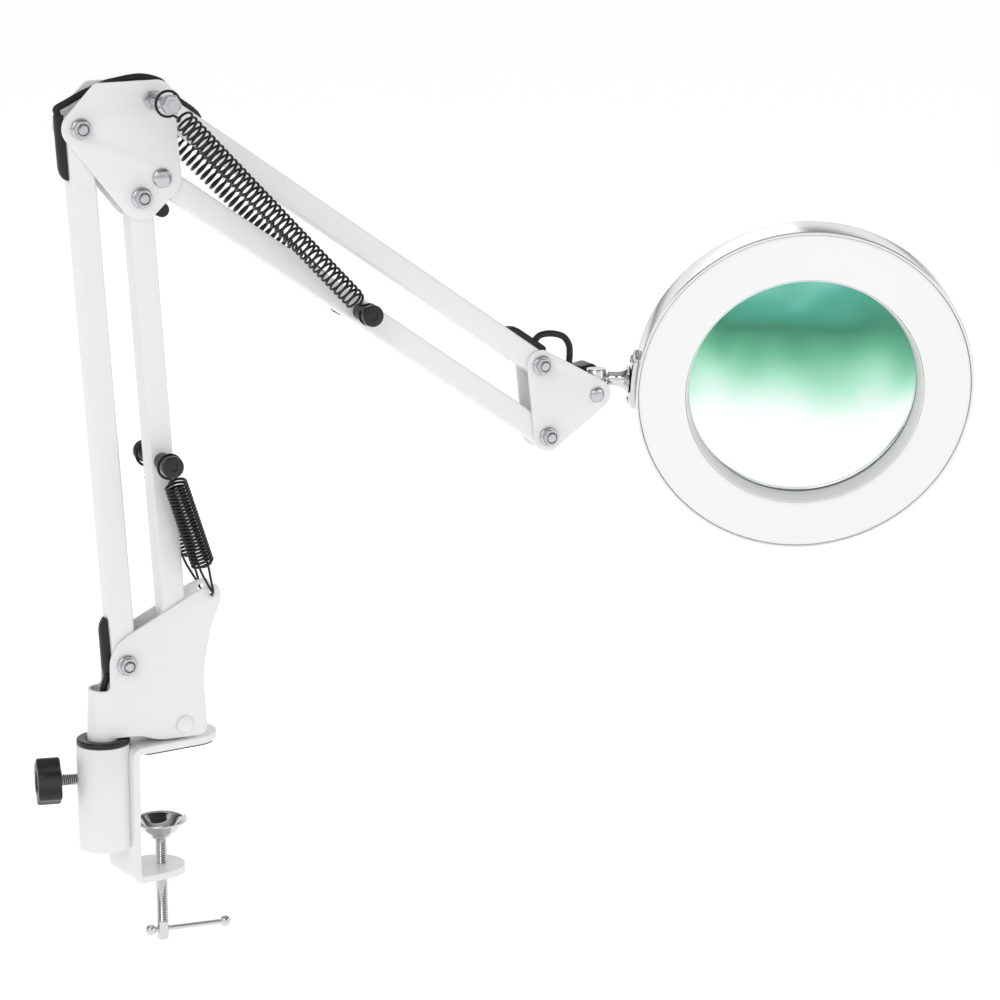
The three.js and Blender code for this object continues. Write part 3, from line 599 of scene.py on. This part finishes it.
rod += [(2.95, SCREW_END + 9.6), (2.95, SCREW_END + 0.8), (2.5, SCREW_END + 0.15), (0, SCREW_END)]
finish_mesh("screw_rod", lathe(rod, 64), CHROME, "screw", ["clamp_screw"], place=SCREW, smooth=30)
bar = merge(lathe([(0, -6.4), (1.35, -6.4), (1.35, 33.4), (0, 33.4)], 32))
bar.transform(Matrix.Rotation(RAD(90), 4, "Y"))
finish_mesh("sliding_bar", merge(bar, ball((-6.4, 0, 0), 2.9), ball((33.4, 0, 0), 2.9)),
            CHROME, "bar", ["tommy_bar"],
            place=SCREW @ Matrix.Translation((0, 0, BAR_Z)), smooth=60)


def lobed_knob(r, lobe, count, low, high, edge=1.1):
    """A knob with rounded finger lobes: rows of one outline, drawn in at both ends."""
    rows = [(r * 0.35, low + 0.6), (r * 0.4, low)]
    rows += [(r - edge, low), (r - edge * 0.3, low + edge * 0.3), (r, low + edge), (r, (low + high) / 2),
             (r, high - edge), (r - edge * 0.3, high - edge * 0.3), (r - edge, high), (r * 0.55, high),
             (r * 0.5, high - 0.8), (0.001, high - 0.8)]
    verts, faces = [], []
    sides = 120
    for rr, h in rows:
        for i in range(sides):
            a = 2 * math.pi * i / sides
            k = (rr + lobe * math.cos(count * a) * (1 if rr > r * 0.6 else 0))
            verts.append((k * math.cos(a), k * math.sin(a), h))
    for k in range(len(rows) - 1):
        for i in range(sides):
            j = (i + 1) % sides
            faces.append((k * sides + i, k * sides + j, (k + 1) * sides + j, (k + 1) * sides + i))
    faces.append(tuple(range(sides)))
    return mesh_of(verts, faces)


LOCK_Z, LOCK_ANGLE = -11.7, RAD(161)
LOCK = (CLAMP @ Matrix.Translation((0, 0, LOCK_Z)) @ Matrix.Rotation(LOCK_ANGLE, 4, "Z")
        @ Matrix.Rotation(RAD(90), 4, "Y"))
finish_mesh("lock_rod", lathe([(0, 10.6)] + thread_profile(3.0, 10.7, 23, 1.0, 0.35)
                              + [(2.9, 23.4), (2.9, 30.4),
    (0, 30.4)], 48),
            ZINC, "lock_screw_body", ["lock_screw"], place=LOCK, smooth=30)
finish_mesh("lock_grip", lobed_knob(11.4, 0.9, 6, 22.4, 34.4),
            BLACK, "lock_screw_body", ["lock_knob"], place=LOCK,
            smooth=50)


# ------------------------------------------------------------------ fasteners
def bolt(name, p, body, bolt_node, nut_node):
    front = along_y(p, -1)
    rear = along_y(p, 1)
    face = OUTER + GAP
    head = merge(lathe([(0, face), (5.1, face), (5.3, face + 0.3), (5.1, face + 0.8), (4.3, face + 1.2),
                        (0, face + 1.3)], 64),
                 hexagon(4.4, face + 0.9, face + 4.5),
                 lathe([(0, -OUTER), (BOLT_R, -OUTER), (BOLT_R, face + 1), (0, face + 1)], 32))
    head.transform(rear)
    tip = lathe([(0, OUTER - 1)] + thread_profile(2.45, OUTER - 1, face + 4.8, 0.8, 0.28)
                + [(1.9, face + 5.1),
        (0, face + 5.1)], 48)
    tip.transform(front)
    finish_mesh(name + "_screw", merge(head, tip), ZINC, body, [bolt_node], smooth=40)
    nut = merge(lathe([(2.6, face), (5.1, face), (5.3, face + 0.3), (5.15, face + 0.8), (4.4, face + 1.3),
                       (2.6, face + 1.6),
                       (2.6, face)], 64), nut_hex(4.4, 2.6, face + 0.8, face + 4.2))
    finish_mesh(name + "_nut", nut, ZINC, body, [nut_node], place=front, smooth=40)


bolt("pivot_base", base_left, "base", "base_bolt", "base_nut")
bolt("pivot_elbow_left", elbow_left, "elbow", "elbow_bolt_left", "elbow_nut_left")
bolt("pivot_elbow_bottom", elbow_bottom, "elbow", "elbow_bolt_bottom", "elbow_nut_bottom")
bolt("pivot_head_top", head_top, "head_bracket", "head_bolt_top", "head_nut_top")
bolt("pivot_head_bottom", head_bottom, "head_bracket", "head_bolt_bottom", "head_nut_bottom")


def rivet(name, p, r, h, mat, body, node):
    f = OUTER + GAP
    dome = [(r * math.cos(RAD(t)), f + h * math.sin(RAD(t))) for t in range(0, 91, 10)]
    side = [(0, 0), (2.9, 0), (2.9, f), (r, f)] + dome[1:-1] + [(0, f + h)]
    a, b = lathe(side, 48), lathe(side, 48)
    a.transform(along_y(p, 1))
    b.transform(along_y(p, -1))
    finish_mesh(name, merge(a, b), mat, body, [node], smooth=50)


rivet("rivet_base", base_right, 4.4, 1.2, PAINT, "base", "base_pin")
rivet("rivet_elbow", elbow_right, 4.9, 1.8, ZINC, "elbow", "elbow_rivet")

# ------------------------------------------------------------------ swivel bracket
LOW_Z, RISE_Z, POST_TOP = 6.5, 10.4, 35.5
bx, bz = base_left


def at(x, z, r):
    return [bx + x, bz + z, r]


bracket = rounded([
    at(-11, RISE_Z - bz, 0), at(6, RISE_Z - bz, 4), at(16, LOW_Z - bz, 6), at(42.5, LOW_Z - bz, 6),
    at(40.5, -8, 10), at(45.8, 17, 8), at(51.6, 29, 5),
    at(49.5, 37.5, 4), at(40, 35, 5), at(22, 25.6, 6), at(-3.6, 12.6, 7), at(-8.7, 4.5, 5),
    at(-8.9, POST_TOP - bz + 1, 2), at(-11, POST_TOP - bz, 0)])
holes = [(base_left[0], base_left[1], 2.8), (base_right[0], base_right[1], 2.8), (ear[0], ear[1], 1.8)]
wall = [(INNER, -47.2), (OUTER, -47.2), (OUTER, 10), (OUTER, POST_TOP - 2), (OUTER + 0.25, POST_TOP - 0.3),
        (OUTER + 0.1, POST_TOP), (INNER + 0.2, POST_TOP), (INNER, POST_TOP - 1.5), (INNER, -47.2)]
post = lathe(wall, 96)
for v in post.vertices:
    if v.co.x < 0 and v.co.z > 10:
        v.co.x *= 1 - 0.16 * (v.co.z - 10) / (POST_TOP - 10)
post.transform(Matrix.Translation((POST_X, 0, 0)))
finish_mesh("swivel_bracket", merge(plate(bracket, holes, -OUTER, -INNER),
                                    plate(bracket, holes, INNER, OUTER), post),
            PAINT, "base", ["base_bracket"], smooth=40)

# ------------------------------------------------------------------ arm tubes
for name, a, b, body in (
        ("lower_tube_left", base_left, elbow_left, "lower_left_arm"),
        ("lower_tube_right", base_right, elbow_bottom, "lower_right_arm"),
        ("upper_tube_top", elbow_top, head_top, "upper_top_arm"),
        ("upper_tube_bottom", elbow_right, head_bottom, "upper_bottom_arm")):
    finish_mesh(name.replace("tube", "bar"), square_tube(a, b), PAINT, body, [name], smooth=50)

PEG = [(0, 4.5), (2.5, 4.5), (2.5, 6.6), (4.4, 6.6), (4.4, 19.6), (4.7, 20.2), (5.4, 20.5), (5.6, 20.9),
       (5.6, 23.0),
       (5.4, 23.6), (4.8, 24.0), (2.2, 24.0), (2.0, 23.5), (0, 23.5)]
for label, side in (("front", -1), ("rear", 1)):
    for arm, p in (("lower", lower_peg), ("upper", upper_peg)):
        body = "lower_right_arm" if arm == "lower" else "upper_bottom_arm"
        finish_mesh(f"{arm}_cap_{label}", lathe(PEG, 64), BLACK, body, [f"{arm}_peg_{label}"],
                    place=along_y(p, side))

# ------------------------------------------------------------------ elbow and head plates
elbow_outline = hull([(elbow_left, 9.4), (elbow_bottom, 11), (elbow_right, 10.2),
                      (plus(elbow_left, 39.3, 14), 8.2),
                      (plus(elbow_left, 9.9, 16.7), 5)])
head_outline = hull([(head_top, 8), (head_bottom, 8), (tilt, 8)])
elbow_holes = [(p[0], p[1], 2.8) for p in (elbow_left, elbow_bottom, elbow_right, elbow_top)]
head_holes = [(p[0], p[1], 2.8) for p in (head_top, head_bottom, tilt)]
for label, y0, y1 in (("front", -OUTER, -INNER), ("rear", INNER, OUTER)):
    finish_mesh(f"elbow_side_{label}", plate(elbow_outline, elbow_holes, y0, y1), PAINT, "elbow",
                [f"elbow_plate_{label}"], smooth=40)
    finish_mesh(f"head_side_{label}", plate(head_outline, head_holes, y0, y1), PAINT, "head_bracket",
                [f"head_plate_{label}"], smooth=40)

near = OUTER + GAP
stud = [(0, 0), (2.45, 0), (2.45, near + 4)] + thread_profile(2.45, near + 4, 33.4, 0.8, 0.25)
stud += [(2.45, 33.5), (2.45, 37.4), (2.3, 38), (0, 38)]
pieces = []
for side in (-1, 1):
    end = merge(lathe(stud, 48), hexagon(5.0, near, near + 3.5), hexagon(5.0, 33.5, 37.5, 0.7),
                lathe([(0, 33.2), (4.6, 33.2), (4.6, 33.7), (0, 33.7)], 48))
    end.transform(along_y(elbow_top, side))
    pieces.append(end)
finish_mesh("stud", merge(*pieces), ZINC, "elbow", ["spring_stud"], smooth=40)
stop_outline = hull([(plus(elbow_left, 41.2, -41.9), 3.6)])
finish_mesh("stop_block", plate(stop_outline, [], -6.3, 6.3, 0.4), RUBBER, "elbow", ["elbow_stop"], smooth=40)


# ------------------------------------------------------------------ springs
def coil(start, end, r, wire_r, turns, tail_start, tail_end, sides=10, per_turn=20):
    """A helix between two points, with end turns drawn in to straight tails that lead on along the axis."""
    a, b = Vector(start), Vector(end)
    axis = (b - a).normalized()
    u = axis.orthogonal().normalized()
    w = axis.cross(u)
    n = int(turns * per_turn)
    pts = [Vector(p) for p in tail_start]
    for i in range(n + 1):
        t = i / n
        turn_no = t * turns
        edge = min(1.0, 0.25 + 1.6 * min(turn_no, turns - turn_no))
        ang = 2 * math.pi * turn_no
        pts.append(a + (b - a) * t + (u * math.cos(ang) + w * math.sin(ang)) * (r * edge))
    pts += [Vector(p) for p in tail_end]
    return wire(pts, wire_r, sides=sides, smooth=False)


def eye_loop(centre, toward, r):
    """A wire eye round an axis along Y, starting and ending at the side that faces the spring."""
    c = Vector(centre)
    d = Vector(toward) - c
    start = math.atan2(d.z, d.x)
    pts = [c + Vector((r * math.cos(start + RAD(t)), 0, r * math.sin(start + RAD(t))))
           for t in range(20, 341, 16)]
    return pts


def lerp(a, b, t):
    return tuple(x + (y - x) * t for x, y in zip(a, b))


for label, side in (("front", -1), ("rear", 1)):
    top = (elbow_top[0], side * 31, elbow_top[1])
    foot = (upper_peg[0], side * 17, upper_peg[1])
    loop = eye_loop(top, foot, 6.2)
    foot_loop = eye_loop(foot, top, 5.2)
    foot_loop.reverse()
    long = coil(lerp(top, foot, 0.062), lerp(top, foot, 0.945), 4.95, 0.68, 41, loop, foot_loop)
    o = finish_mesh(f"upper_coil_{label}", long, SPRING, None,
                    [f"upper_spring_{label}", f"upper_hook_{label}"], smooth=80)
    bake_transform(o)

    head_end = (lower_peg[0], side * 17, lower_peg[1])
    low = (ear[0], side * (OUTER + 3), ear[1] + 1)
    loop = eye_loop(lerp(head_end, low, 0.011), low, 6.1)
    short = coil(lerp(head_end, low, 0.13), lerp(head_end, low, 0.78), 5.45, 0.72, 25, loop,
                 [lerp(head_end, low, 0.785)], per_turn=22)
    finish_mesh(f"lower_coil_{label}", short, SPRING, "lower_coils", [f"lower_spring_{label}"], smooth=80)
    run = (Vector(low) - Vector(head_end)).normalized()
    across = run.cross(Vector((0, 1, 0))).normalized()
    legs = []
    for way in (-1, 1):
        legs.append([Vector(lerp(head_end, low, t)) + across * way * w for t, w in ((0.5, 2.6), (0.78, 2.3),
            (0.88, 1.5))])
    tip = [(ear[0] + 0.3, side * (OUTER + 2.2), ear[1] + 1.4), (ear[0], side * (OUTER + 1.2), ear[1] - 0.2),
           (ear[0], side * (INNER + 0.9), ear[1] - 0.5)]
    hook = wire(legs[0] + [Vector(q) for q in tip[:1]] + legs[1][::-1], 0.62)
    catch = wire([Vector(q) for q in tip], 0.62)
    hook = merge(hook, catch)
    finish_mesh(f"lower_wire_{label}", hook, SPRING, "lower_hooks", [f"lower_hook_{label}"], smooth=80)


# ------------------------------------------------------------------ cable sleeves and cables
def boot(name, start, angle, s0, s1, side, body, node, rise=4):
    """A moulded sleeve on a tube's face: a rounded ridge with a long taper to one end."""
    edge = side * (HALF + GAP)
    top = side * (HALF + GAP + rise)
    verts, faces = [], []
    rows = [(s0, 0.86), (s0 + 0.5, 0.97), (s0 + 2.5, 1.0), (s0 + 6, 1.0), ((s0 + s1) / 2, 1.0),
            (s1 - 6, 0.98),
            (s1 - 3, 0.82), (s1 - 1, 0.5), (s1, 0.22)]
    across = [(-3.4, 0), (-3.4, 0.45), (-3.0, 0.75), (-2.1, 0.93), (-0.9, 1.0), (0.9, 1.0), (2.1, 0.93),
              (3.0, 0.75),
              (3.4, 0.45), (3.4, 0)]
    for s, k in rows:
        for y, h in across:
            x, z = on_tube(start, angle, s, edge + (top - edge) * h * k)
            verts.append((x, y * (0.94 if k < 0.9 else 1), z))
    n = len(across)
    for i in range(len(rows) - 1):
        for j in range(n):
            m = (j + 1) % n
            faces.append((i * n + j, i * n + m, (i + 1) * n + m, (i + 1) * n + j))
    faces += [tuple(range(n)), tuple(range((len(rows) - 1) * n, len(rows) * n))]
    finish_mesh(name, mesh_of(verts, faces), RUBBER, body, [node], smooth=50)


boot("sleeve_lower_foot", base_left, LOWER_LEAN, -4, 24, 1, "lower_left_arm", "boot_lower_bottom")
boot("sleeve_lower_head", elbow_left, LOWER_LEAN + math.pi, -7, 25, -1, "lower_left_arm", "boot_lower_top")
boot("sleeve_upper_foot", elbow_top, UPPER_DROP, 9, 28, 1, "upper_top_arm", "boot_upper_left", 2.6)
boot("sleeve_upper_head", head_top, UPPER_DROP + math.pi, 0, 25, -1, "upper_top_arm", "boot_upper_right", 3.4)

CABLE_R, BOOT_MID = 1.75, HALF + GAP + 2


def leaving(start, angle, end, way):
    """Points that run a cable out of a sleeve's end straight along its tube."""
    out = []
    for gap in (-3, 0.7, 3):
        x, z = on_tube(start, angle, end + way * gap, BOOT_MID)
        out.append((x, 0, z))
    return out


def rows(*points):
    return [tuple(p) for p in points]


base_run = wire(leaving(base_left, LOWER_LEAN, -4, -1)
                + rows((POST_X + 0.6, 0, POST_TOP - 2), (POST_X, 0, POST_TOP - 12),
                       (POST_X, 0, 0), (POST_X, 0, -45)), CABLE_R, 16)
o = finish_mesh("base_lead", base_run, RUBBER, None, ["base_cable"], smooth=80)
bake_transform(o)

ex, ez = elbow_left
first = leaving(elbow_left, LOWER_LEAN, 7, 1)
last = leaving(elbow_top, UPPER_DROP, 9, -1)
middle = rows((ex - 4, 0, ez + 12.2), (ex + 4, 0, ez + 16.2), (ex + 15.6, 0, ez + 20.6))
left_run = wire(first + middle + rows((ex + 19, 0, ez + 21.4)), CABLE_R, 16)
o = finish_mesh("elbow_lead_left", left_run, RUBBER, None, ["elbow_cable"], smooth=80)
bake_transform(o)
right_run = wire(rows((ex + 15.6, 0, ez + 20.6), (ex + 19, 0, ez + 21.4), (ex + 33, 0, ez + 23.2),
                 (ex + 43.5, 0, ez + 20.5)) + last[::-1], CABLE_R, 16)
o = finish_mesh("elbow_lead_right", right_run, RUBBER, None, [], smooth=80)
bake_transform(o)

tx, tz = tilt
head_route = rows((tx - 33.5, 0, tz + 29.2), (tx - 30.2, 0, tz + 32.5), (tx - 25, 0.5, tz + 33.2),
                  (tx - 19.5, 1, tz + 32.4),
                  (tx - 14.6, 2, tz + 30.2), (tx - 11.6, 2.5, tz + 26), (tx - 10.8, 3, tz + 21),
                  (tx - 11.2, 3, tz + 14),
                  (tx - 11, 2.5, tz + 6))
o = finish_mesh("head_lead", wire(head_route, CABLE_R, 16), RUBBER, None, ["head_cable"], smooth=80)
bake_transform(o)

# ------------------------------------------------------------------ tilt knob, knuckle, swivel
f = OUTER + GAP
screw = merge(lathe([(0, f + 1.8), (1.6, f + 1.72), (2.9, f + 1.35), (3.8, f + 0.75), (4.1, f), (2.4, f),
                     (2.4, 0), (0, 0)], 48))
screw.transform(along_y(tilt, -1))
tail = lathe([(0, 0), (2.4, 0), (2.4, 19), (0, 19)], 32)
tail.transform(along_y(tilt, 1))
finish_mesh("tilt_screw_rod", merge(screw, tail), ZINC, "tilt_screw", ["tilt_bolt"], smooth=50)
finish_mesh("tilt_grip", lobed_knob(13.4, 1.1, 6, f, 22), BLACK, "tilt_screw", ["tilt_knob"],
            place=along_y(tilt, 1),
            smooth=50)

SHELF = tilt[1] + 3.4
barrel = lathe([(2.8, -6.35), (5.8, -6.35), (6.2, -5.95), (6.2, 5.95), (5.8, 6.35), (2.8, 6.35),
                (2.8, -6.35)], 96)
barrel.transform(along_y(tilt, 1))
shelf = lathe([(0, tilt[1] - 3), (4.8, tilt[1] - 3), (5.4, tilt[1] - 2.4), (5.4, SHELF - 0.3), (5.1, SHELF),
    (2.2, SHELF),
               (2.2, SHELF + 1.9), (0, SHELF + 1.9)], 64)
shelf.transform(Matrix.Translation((swivel[0], 0, 0)))
finish_mesh("knuckle_casting", merge(barrel, shelf), CHROME, "knuckle_body", ["knuckle"], smooth=40)
low = SHELF + GAP - swivel[1]
finish_mesh("swivel_barrel", lathe([(0, low), (5.0, low), (5.4, low + 0.4), (5.4, 4.6), (5.0, 5.1),
                                    (4.2, 5.2),
    (0, 5.2)], 96),
            CHROME, "swivel", ["swivel_block"], place=HEAD, smooth=40)


# ------------------------------------------------------------------ head
def saddle():
    """The chrome flange that hugs the rim, with the stem flaring into it, and its two screws."""
    inside = RIM_R + GAP
    arc = RAD(10.5)
    verts, faces = [], []
    n, m = 28, 12
    for i in range(n + 1):
        t = -1 + 2 * i / n
        for j in range(m + 1):
            v = -1 + 2 * j / m
            width = 6.5 * math.sqrt(max(0.0, 1 - max(0.0, (abs(t) - 0.62) / 0.38) ** 2)) + 0.02
            a = math.pi + arc * t
            rise = 3.2 * (1 - 0.35 * v * v) * (1 - 0.5 * max(0.0, (abs(t) - 0.6) / 0.4) ** 2)
            for r in (inside, inside + rise):
                verts.append((CENTRE + r * math.cos(a), width * v, r * math.sin(a)))
    row = 2 * (m + 1)
    for i in range(n):
        for j in range(m):
            p = i * row + 2 * j
            q = p + row
            faces.append((p, p + 2, q + 2, q))
            faces.append((p + 1, q + 1, q + 3, p + 3))
        p, q = i * row, i * row + row
        faces.append((p, q, q + 1, p + 1))
        p, q = i * row + 2 * m, (i + 1) * row + 2 * m
        faces.append((p, p + 1, q + 1, q))
    for i in (0, n):
        for j in range(m):
            p = i * row + 2 * j
            faces.append((p, p + 1, p + 3, p + 2))
    strap = mesh_of(verts, faces)
    stem = lathe([(0, 2.9), (2.6, 2.9), (2.6, 6.0), (3.6, 6.0), (3.9, 6.3), (3.9, 10.6), (4.05, 12.0),
                  (4.5, 13.4), (5.3, 14.8),
                  (6.4, 16.0), (7.6, 17.0), (0, 18.4)], 96)
    stem.transform(Matrix.Rotation(RAD(90), 4, "Y"))
    heads = []
    for s in (-1, 1):
        a = math.pi + s * RAD(7.2)
        out = Vector((math.cos(a), 0, math.sin(a)))
        p = Vector((CENTRE, 0, 0)) + out * (inside + 2.4)
        h = lathe([(0, 1.5), (1.0, 1.45), (1.9, 1.1), (2.4, 0.5), (2.5, 0), (2.5, -1), (0, -1)], 32)
        h.transform(along(p, out))
        heads.append(h)
    return merge(strap, stem, *heads)


finish_mesh("saddle", saddle(), CHROME, "head", ["stem_saddle"], place=ROLL, smooth=50)

FRONT = 10.0


def ring(profile, sides=256):
    return lathe([(r, FRONT - d) for r, d in profile], sides)


finish_mesh("rim_shell", ring([
    (89.1, -0.4), (89.6, -0.6), (90.1, -0.45), (90.45, 0.1), (90.5, 0.8), (90.5, 17.2), (90.2, 18.4),
    (89.4, 19.4),
    (88.2, 20.0), (61.8, 20.0), (61.2, 19.7), (61.0, 19.0), (61.0, 13.8), (61.3, 13.5), (63.8, 13.5),
    (63.8, 2.5),
    (65.3, 2.5), (65.3, 18.2), (88.9, 18.2), (88.9, 0.0), (89.1, -0.4)]), SILVER, "head", ["head_housing"],
        place=DISK, smooth=40)
finish_mesh("diffuser_ring", ring([
    (63.8, 0.2), (64.0, 0.0), (66, -0.05), (76.7, -0.15), (86.5, -0.05), (88.4, 0.0), (88.6, 0.2),
    (88.6, 2.2),
        (63.8, 2.2),
    (63.8, 0.2)]), OPAL, "head", ["light_diffuser"], place=DISK, smooth=50)
finish_mesh("lens_bezel", ring([
    (63.15, 0.3), (63.0, 0.6), (61.9, 5.0), (61.0, 9.2), (61.1, 9.6), (63.5, 9.6), (63.5, 0.3),
    (63.15, 0.3)]), OPAL,
    "head", ["lens_ring"], place=DISK, smooth=50)
lens_rows = [(63.5 * i / 24, 11.6 - 1.5 - 3.6 * (1 - (i / 24) ** 2)) for i in range(25)]
lens_back = [(63.5 * i / 24, 11.6 + 1.5 + 3.6 * (1 - (i / 24) ** 2)) for i in range(24, -1, -1)]
finish_mesh("lens_glass_painted_reflection", ring(lens_rows + lens_back, 192), GLASS_WITH_PAINTED_REFLECTION, "head", ["lens"], place=DISK, smooth=50)

# ------------------------------------------------------------------ camera, floor and light
cam = bpy.data.objects.new("camera", bpy.data.cameras.new("camera"))
bpy.context.scene.collection.objects.link(cam)
cam.data.sensor_width = 36
cam.data.lens = 113.76
cam.data.clip_end = 50
az, el = RAD(25), RAD(13)
toward = Vector((-math.sin(az) * math.cos(el), -math.cos(az) * math.cos(el), math.sin(el)))
target = Vector((167.28, -64.30, 127.71)) * MM
cam.location = target + toward * 1.6
right = Vector((math.cos(az), -math.sin(az), 0))
cam.rotation_euler = Matrix((right, toward.cross(right), toward)).transposed().to_euler()
bpy.context.scene.camera = cam

floor_mat = bpy.data.materials.new("floor")
floor_mat.use_nodes = True
floor_mat.node_tree.nodes["Principled BSDF"].inputs["Base Color"].default_value = (0.9, 0.9, 0.9, 1)
floor_mat.node_tree.nodes["Principled BSDF"].inputs["Roughness"].default_value = 0.8
floor_mat.node_tree.nodes["Principled BSDF"].inputs["Emission Color"].default_value = (1, 1, 1, 1)
floor_mat.node_tree.nodes["Principled BSDF"].inputs["Emission Strength"].default_value = 0.45
bpy.ops.mesh.primitive_plane_add(size=60, location=(0, 0, CAD_BOX[0][2] - 0.0005))
floor = bpy.context.active_object
floor.name = "floor"
floor.data.materials.append(floor_mat)

world = bpy.data.worlds.new("studio")
bpy.context.scene.world = world
world.use_nodes = True
wt = world.node_tree
soft_sky = wt.nodes["Background"]
soft_sky.inputs["Color"].default_value = (1, 1, 1, 1)
soft_sky.inputs["Strength"].default_value = 0.6
# Polished metal sees a studio with dark flags between the softboxes.
studio = wt.nodes.new("ShaderNodeBackground")
where = wt.nodes.new("ShaderNodeTexCoord")
height = wt.nodes.new("ShaderNodeSeparateXYZ")
wt.links.new(where.outputs["Generated"], height.inputs["Vector"])
bands = wt.nodes.new("ShaderNodeValToRGB")
bands.color_ramp.interpolation = "EASE"
stops = ((0.0, 0.45), (0.18, 0.05), (0.30, 0.6), (0.42, 0.03), (0.50, 0.05), (0.57, 0.95), (0.68, 1.0),
         (0.78, 0.08), (1.0, 0.5))
bands.color_ramp.elements[0].color = (stops[0][1],) * 3 + (1,)
bands.color_ramp.elements[1].color = (stops[-1][1],) * 3 + (1,)
for spot, level in stops[1:-1]:
    bands.color_ramp.elements.new(spot).color = (level, level, level, 1)
rise = wt.nodes.new("ShaderNodeMapRange")
rise.inputs["From Min"].default_value = -1
wt.links.new(height.outputs["Z"], rise.inputs["Value"])
wt.links.new(rise.outputs["Result"], bands.inputs["Fac"])
wt.links.new(bands.outputs["Color"], studio.inputs["Color"])
path = wt.nodes.new("ShaderNodeLightPath")
choose = wt.nodes.new("ShaderNodeMixShader")
wt.links.new(path.outputs["Is Glossy Ray"], choose.inputs["Fac"])
wt.links.new(soft_sky.outputs["Background"], choose.inputs[1])
wt.links.new(studio.outputs["Background"], choose.inputs[2])
backdrop = wt.nodes.new("ShaderNodeBackground")
backdrop.inputs["Color"].default_value = (1, 1, 1, 1)
backdrop.inputs["Strength"].default_value = 1.3
seen = wt.nodes.new("ShaderNodeMixShader")
wt.links.new(path.outputs["Is Camera Ray"], seen.inputs["Fac"])
wt.links.new(choose.outputs["Shader"], seen.inputs[1])
wt.links.new(backdrop.outputs["Background"], seen.inputs[2])
wt.links.new(seen.outputs["Shader"], wt.nodes["World Output"].inputs["Surface"])


def area(name, location, size, power, aim=(0.1, 0, 0.15)):
    light = bpy.data.lights.new(name, "AREA")
    light.shape = "RECTANGLE"
    light.size, light.size_y = size
    light.energy = power
    o = bpy.data.objects.new(name, light)
    bpy.context.scene.collection.objects.link(o)
    o.location = location
    o.rotation_euler = (Vector(location) - Vector(aim)).to_track_quat("Z", "Y").to_euler()


area("key", (-1.6, -1.8, 1.9), (1.4, 1.4), 13)
area("fill", (2.0, -1.6, 1.0), (1.6, 1.2), 4)
area("back", (0.6, 2.2, 1.7), (1.8, 1.0), 7)
bpy.context.scene.view_settings.view_transform = "Standard"
